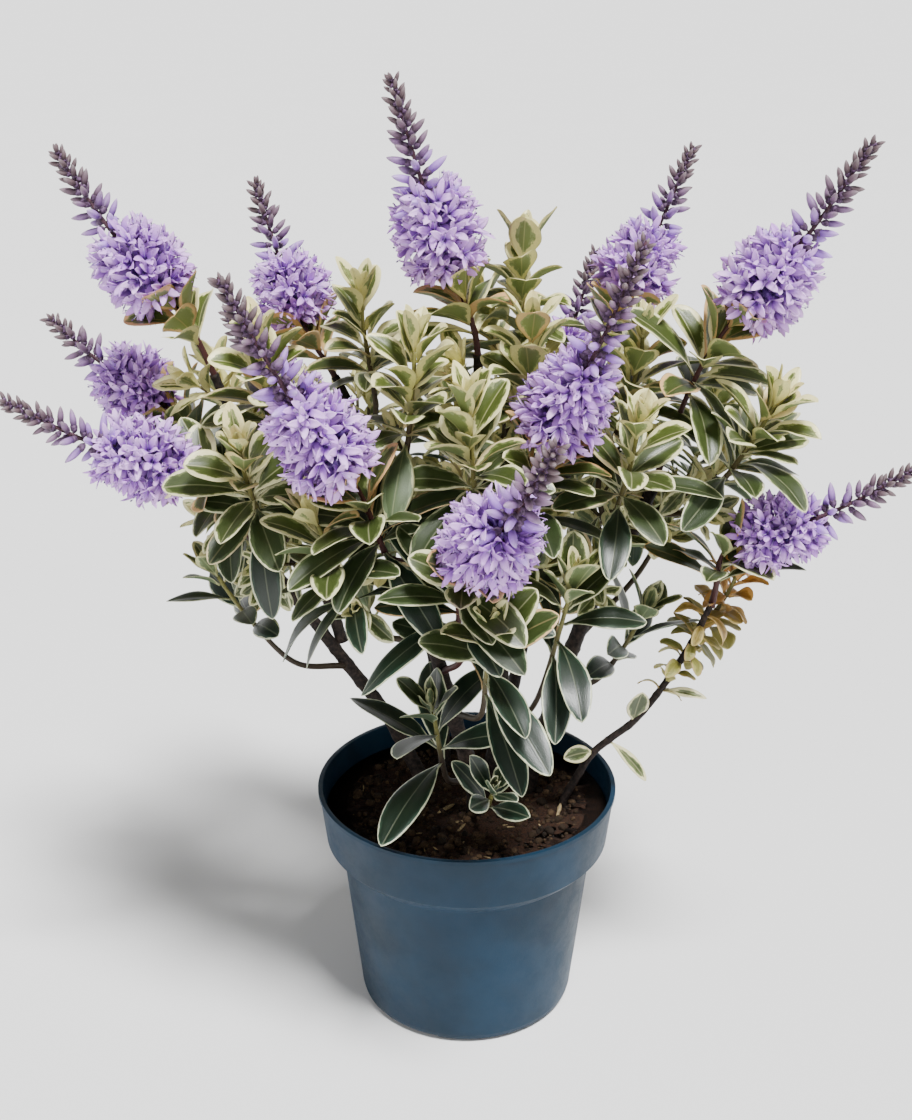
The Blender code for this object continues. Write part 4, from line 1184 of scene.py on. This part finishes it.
def build_wood(node, crowd, material, leaf_materials, dry_materials):
    """A woody stem with the ridges of its old leaf joints, and the small side shoots on it."""
    centres, radii = tube_line(node, lambda vert: vert.co.z)
    rng = generator(node)
    line = sunk(smooth_line(centres, WOOD_STATIONS), WOOD_SUNK)
    place = np.linspace(0, 1, len(line))
    radii = np.interp(place, np.linspace(0, 1, len(radii)), radii)
    if node == WILTED_STEM:
        radii = radii * WILTED_SLIMNESS
    far = np.linalg.norm(line - line[0], axis=1)
    ridge = np.exp(-(((far / JOINT_SPACING + rng.random()) % 1 - 0.5) / 0.1) ** 2) * JOINT_RIDGE
    flare = WOOD_FLARE * np.exp(-far / FLARE_LENGTH)
    side = np.arange(WOOD_SIDES) / WOOD_SIDES * 2 * math.pi
    grooves = 0.04 * np.sin(3 * side + rng.uniform(0, 6)) + 0.025 * np.sin(5 * side + rng.uniform(0, 6))
    rough = rng.uniform(-0.025, 0.025, (len(line), WOOD_SIDES))
    radii = radii[:, None] * (1 + ridge[:, None] + flare[:, None] + grooves + rough)
    bark, sides = Bag(), Bag()
    bark.add(tube(line, radii, WOOD_SIDES), 0, stem_kind=(place[None, :, None], 0.0, 0.0))
    bark.settle(node + "_bark", [material], "bark", node)
    if node == WILTED_STEM:
        lone_leaves(sides, line, rng)
        dry = Bag()
        dry_pairs(dry, line, DRY_START, rng)
        dry.settle(node + "_dry_leaves", dry_materials, "wilted_leaf")
    else:
        side_shoots(sides, crowd, line, rng, SIDE_SHOOT_LOWEST, 1.0)
    crowd.settle()
    if sides.loft_count:
        sides.settle(node + "_side_leaves", leaf_materials, "leaf")


def bark_surface():
    """Dark brown bark with lengthwise cracks and paler flecks."""
    graph = Graph("bark_brown", 0.75, 0.25)
    fine, broad = graph.noise(700.0, 5.0), graph.noise(120.0)
    body = graph.mix(graph.spread(fine, 0.35, 0.7), "120d0b", "2e2420")
    graph.bump(fine + broad * 0.5, 0.5, 0.8)
    return graph.paint(graph.fleck(body, broad, 0.52, 0.75, 0.5, "4a3e34"))


def young_stem_surface():
    """Young stems: dark purple-brown under the flowers, olive-brown elsewhere, greener at their tips."""
    graph = Graph("young_stem", 0.55, 0.35)
    along, height, flowering = graph.parts("stem_kind")
    brown = graph.mix(height, "1f1712", "4a3d26")
    green = graph.mix(graph.spread(along, 0.5, 1.0), brown, "7d7a42")
    grain = graph.noise(900.0)
    graph.bump(grain, 0.2, 0.6)
    return graph.paint(graph.fleck(graph.mix(flowering, green, "41201f"), grain, 0.45, 0.75, 0.4, "1c1510"))


# Compost

SOIL_RINGS = 56
SOIL_SPOKES = 200
SOIL_RELIEF = 1.9 * MM
SOIL_WAVES = ((0, 60, 0.7), (0.4, 260, 0.55), (0.8, 900, 0.25))     # layer, waves per metre, share
CRUMBS = 880
CHIPS = 60
CRUMB_SHAPE = np.array([0.35, 0.85, 1.0, 0.95, 0.8, 0.3])


def soil_height(x, y):
    """How far the compost's surface lies above or below its level."""
    return SOIL_RELIEF * sum(share * noise.noise(Vector((x, y, layer)) * waves)
                             for layer, waves, share in SOIL_WAVES)


def soil_profile():
    """Radius and height of the CAD compost's rings below its top, from the top down."""
    bm = welded("soil")
    reach = {}
    for vert in bm.verts:
        level = round(vert.co.z, 4)
        reach[level] = max(reach.get(level, 0), vert.co.xy.length)
    bm.free()
    return [(reach[level], level) for level in sorted(reach, reverse=True)]


def build_soil(material):
    """The compost as one closed body with a fine uneven top."""
    bm = bmesh.new()
    profile = soil_profile()
    radius, level = profile[0]
    spokes = [(math.cos(turn), math.sin(turn)) for turn in np.arange(SOIL_SPOKES) * 2 * math.pi / SOIL_SPOKES]
    rows = []
    for ring in range(1, SOIL_RINGS + 1):
        reach = radius * ring / SOIL_RINGS
        spots = [(reach * x, reach * y) for x, y in spokes]
        rows.append([bm.verts.new((x, y, level + soil_height(x, y))) for x, y in spots])
    for reach, height in profile[1:]:
        rows.append([bm.verts.new((reach * x, reach * y, height)) for x, y in spokes])
    for inner, outer in zip(rows, rows[1:]):
        for i in range(SOIL_SPOKES):
            bm.faces.new((inner[i], outer[i], outer[i - SOIL_SPOKES + 1], inner[i - SOIL_SPOKES + 1]))
    bm.faces.new(rows[0])
    bm.faces.new(rows[-1][::-1])
    mesh = bpy.data.meshes.new("compost_bed")
    bm.to_mesh(mesh)
    bm.free()
    mesh.materials.append(material)
    mesh.shade_smooth()
    settle(linked("compost_bed", mesh), "compost", "soil")


def build_crumbs(materials):
    """Loose crumbs, fibres and bark chips on the compost."""
    rng, bag = generator("crumbs"), Bag()
    reach = soil_profile()[0][0] - 2 * MM
    for number in range(CRUMBS + CHIPS):
        chip = number >= CRUMBS
        turn, far = rng.uniform(0, 2 * math.pi), reach * math.sqrt(rng.random())
        x, y = far * math.cos(turn), far * math.sin(turn)
        size = (rng.uniform(0.5, 1.1) if rng.random() < 0.75 else rng.uniform(1.1, 2.1)) * MM
        length = size * (rng.uniform(1.6, 3.4) if chip else rng.uniform(0.8, 1.4))
        lean = rng.uniform(-0.3, 0.5) if chip else rng.uniform(-1, 1)
        way = unit(np.array([math.cos(turn * 7), math.sin(turn * 7), lean]))
        middle = np.array([x, y, SOIL_TOP + soil_height(x, y) + size * rng.uniform(0.0, 0.5)])
        line = middle + np.linspace(-1, 1, 6)[:, None] * way * length
        radii = size * (0.5 if chip else 1.0) * CRUMB_SHAPE[:, None] * rng.uniform(0.75, 1.2, (6, 7))
        bag.add(tube(line, radii, 7, hint=(0.2, 0.3, 1)), int(chip and rng.random() < 0.6),
                crumb=(rng.random(), 0.0, 0.0))
    bag.settle("compost_crumbs", materials, "compost", "soil")


def compost_surface():
    """Damp dark compost."""
    graph = Graph("compost_dark", 0.9, 0.25)
    fine, broad = graph.noise(1300.0, 6.0, rough=0.7), graph.noise(160.0, 4.0)
    body = graph.mix(graph.spread(fine, 0.3, 0.7), "0e0805", "40281a")
    graph.bump(fine + broad, 1.2, 0.9)
    return graph.paint(graph.fleck(body, broad, 0.5, 0.75, 0.6, "241a12"))


def crumb_surface(name, dark, light):
    graph = Graph(name, 0.9, 0.25)
    fine = graph.noise(1500.0, 5.0)
    graph.bump(fine, 0.5, 0.8)
    body = graph.mix(graph.parts("crumb")[0], dark, light)
    return graph.paint(graph.fleck(body, fine, 0.4, 0.7, 0.6, "0e0a07"))


# Pot

POT_SIDES = 40                  # sides of the CAD pot
POT_SPLIT = 4                   # how many parts each of them is cut into before it is rounded
POT_EDGE = 0.35 * MM            # radius of the pot's rounded edges
FLAT = math.radians(0.4)        # cuts that turn less than this are taken out again
SHARP = math.radians(35)
WALL_FACE = 1.5 * MM * MM       # the wall's faces are larger than this, those of its edges smaller
WALL_STEEP = 0.9                # how level the normal of a wall's face is


def build_pot(material):
    """The pot, with the CAD pot's flat sides rounded off and its edges softened."""
    bm = welded("pot")
    half_side = math.pi / POT_SIDES
    for number in range(POT_SIDES * POT_SPLIT // 2):
        turn = 2 * half_side / POT_SPLIT * number
        bmesh.ops.bisect_plane(bm, geom=bm.verts[:] + bm.edges[:] + bm.faces[:], dist=WELD,
                               plane_co=(0, 0, 0), plane_no=(-math.sin(turn), math.cos(turn), 0))
    for vert in bm.verts:
        turn = math.atan2(vert.co.y, vert.co.x) % (2 * half_side) - half_side
        swell = math.cos(turn) / math.cos(half_side)
        vert.co.x *= swell
        vert.co.y *= swell
    bmesh.ops.dissolve_limit(bm, angle_limit=FLAT, verts=bm.verts, edges=bm.edges)
    mesh = bpy.data.meshes.new("pot_shell")
    bm.to_mesh(mesh)
    bm.free()
    mesh.materials.append(material)
    thing = linked("pot_shell", mesh)
    edge = thing.modifiers.new("edge", "BEVEL")
    edge.width = POT_EDGE
    edge.segments = 2
    edge.limit_method = "ANGLE"
    edge.angle_limit = SHARP
    mesh = bpy.data.meshes.new_from_object(thing.evaluated_get(bpy.context.evaluated_depsgraph_get()))
    thing.modifiers.clear()
    thing.data = mesh
    mesh.shade_smooth()
    mesh.set_sharp_from_angle(angle=SHARP)
    round_walls(mesh)
    settle(thing, "pot_plastic", "pot")


def round_walls(mesh):
    """Shades the pot's walls as true cones, whatever the triangles that they are made of."""
    normals = [Vector(corner.vector) for corner in mesh.corner_normals]
    for face in mesh.polygons:
        level = math.hypot(face.normal.x, face.normal.y)
        outward = face.normal.x * face.center.x + face.normal.y * face.center.y
        if level < WALL_STEEP or face.area < WALL_FACE:
            continue
        for corner in face.loop_indices:
            place = mesh.vertices[mesh.loops[corner].vertex_index].co
            way = Vector((place.x, place.y, 0)).normalized() * math.copysign(level, outward)
            normals[corner] = way + Vector((0, 0, face.normal.z))
    mesh.normals_split_custom_set(normals)


def pot_surface():
    """Blue-grey satin plastic with a fine moulded grain, faint scuffs and a little dust."""
    graph = Graph("pot_plastic_blue", 0.45, 0.22)
    broad, fine = graph.noise(26.0), graph.noise(1800.0, 2.0)
    scuffs = graph.noise(90.0, 6.0, rough=0.8)
    body = graph.mix(graph.spread(broad, 0.3, 0.7), "0a2232", "0c2b40")
    graph.shade("Roughness", graph.spread(scuffs, 0.3, 0.8, 0.42, 0.6))
    graph.bump(fine + broad * 0.6, 0.08, 0.5)
    return graph.paint(graph.fleck(body, scuffs, 0.62, 0.8, 0.35, "3a5462"))


# Everything in its place

def build_plant():
    """Every piece, with its materials."""
    tops, unders, dry_tops, dry_unders = [leaf_surface(name) for name in LEAF_SIDES]
    young_stem = young_stem_surface()
    wood = woody_tree()
    crowd = crowd_of_nodes(wood)
    for node in SHOOTS:
        sides = (dry_tops, dry_unders) if node == WILTED else (tops, unders)
        build_shoot(node, wood, crowd, [*sides, young_stem])
    stalks = [stalk_surface("stalk_purple", "2a161c", "523240"),
              stalk_surface("calyx_purple", "3c2a3c", "6c5272"),
              stalk_surface("calyx_lilac", "5c3f86", "9a78c0")]
    petals = [petal_surface(), plain_surface("stamen_lilac", 0.5, 0.3, 900.0, "b79fd8", "e2d4f4"),
              plain_surface("anther_purple", 0.6, 0.3, 1500.0, "5a4470", "8b76a4")]
    buds = [bud_surface()]
    for node in SPIKES:
        build_spike(node, petals, buds, stalks)
    bark = bark_surface()
    for node in WOODY:
        build_wood(node, crowd, bark, [tops, unders, young_stem], [dry_tops, dry_unders])
    build_soil(compost_surface())
    build_crumbs([crumb_surface("crumb_dark", "1a120b", "4c3a28"),
                  crumb_surface("chip_light", "5a4a34", "a08c68")])
    build_pot(pot_surface())


# Stage, light and camera

CAMERA_PLACE = (-0.0047, -0.576, 0.435)
CAMERA_TILT = math.radians(21.6)        # below the horizon
CAMERA_LENS = 48.2
SENSOR = 36
FLOOR_SIZE = 60
HORIZON_LIGHT = 1.35
ZENITH_LIGHT = 0.12
SKY_BAND = (0.12, 0.6)                  # heights between which the sky goes from one to the other
SUN_PLACE = (0.42, -0.6, 1.7)
SUN_POWER = 7.7
SUN_WIDTH = math.radians(16)
FRONT_PLACE = (-0.6, -1.5, 0.8)
FRONT_SIZE = 1.2
FRONT_POWER = 7


def build_floor():
    """A plain pale floor."""
    mesh = bpy.data.meshes.new("floor")
    half = FLOOR_SIZE / 2
    mesh.from_pydata([(-half, -half, 0), (half, -half, 0), (half, half, 0), (-half, half, 0)], [],
                     [(0, 1, 2, 3)])
    mesh.materials.append(plain_surface("floor_pale", 0.9, 0.1, 3.0, "e6e6e6", "eaeaea"))
    linked("floor", mesh)


def pale_world():
    """A white horizon, as bright as the floor, under a dimmer pale sky."""
    world = bpy.data.worlds.new("pale")
    world.use_nodes = True
    tree = world.node_tree
    sky = tree.nodes["Background"]
    sky.inputs["Color"].default_value = (1, 1, 1, 1)
    way = tree.nodes.new("ShaderNodeTexCoord")
    split = tree.nodes.new("ShaderNodeSeparateXYZ")
    fade = tree.nodes.new("ShaderNodeMapRange")
    fade.interpolation_type = "SMOOTHSTEP"
    for name, value in zip(("From Min", "From Max", "To Min", "To Max"),
                           (*SKY_BAND, HORIZON_LIGHT, ZENITH_LIGHT)):
        fade.inputs[name].default_value = value
    tree.links.new(way.outputs["Generated"], split.inputs[0])
    tree.links.new(split.outputs["Z"], fade.inputs["Value"])
    tree.links.new(fade.outputs["Result"], sky.inputs["Strength"])
    bpy.context.scene.world = world


def add_light(name, kind, way, power):
    """A light that shines along a direction."""
    light = bpy.data.lights.new(name, kind)
    light.energy = power
    thing = linked(name, light)
    thing.rotation_euler = way.to_track_quat("-Z", "Y").to_euler()
    return thing


def add_lights():
    """A broad even soft box, which lights the whole floor alike, and a weak light from the front."""
    add_light("softbox", "SUN", -Vector(SUN_PLACE), SUN_POWER).data.angle = SUN_WIDTH
    plant_middle = (cad_low + cad_high) / 2
    front = add_light("front", "AREA", plant_middle - Vector(FRONT_PLACE), FRONT_POWER)
    front.data.size = FRONT_SIZE
    front.location = FRONT_PLACE


def add_camera():
    camera = bpy.data.cameras.new("camera")
    camera.lens = CAMERA_LENS
    camera.sensor_width = SENSOR
    thing = linked("camera", camera)
    thing.location = CAMERA_PLACE
    thing.rotation_euler = (math.radians(90) - CAMERA_TILT, 0, 0)
    bpy.context.scene.camera = thing


build_plant()
build_floor()
pale_world()
add_lights()
add_camera()
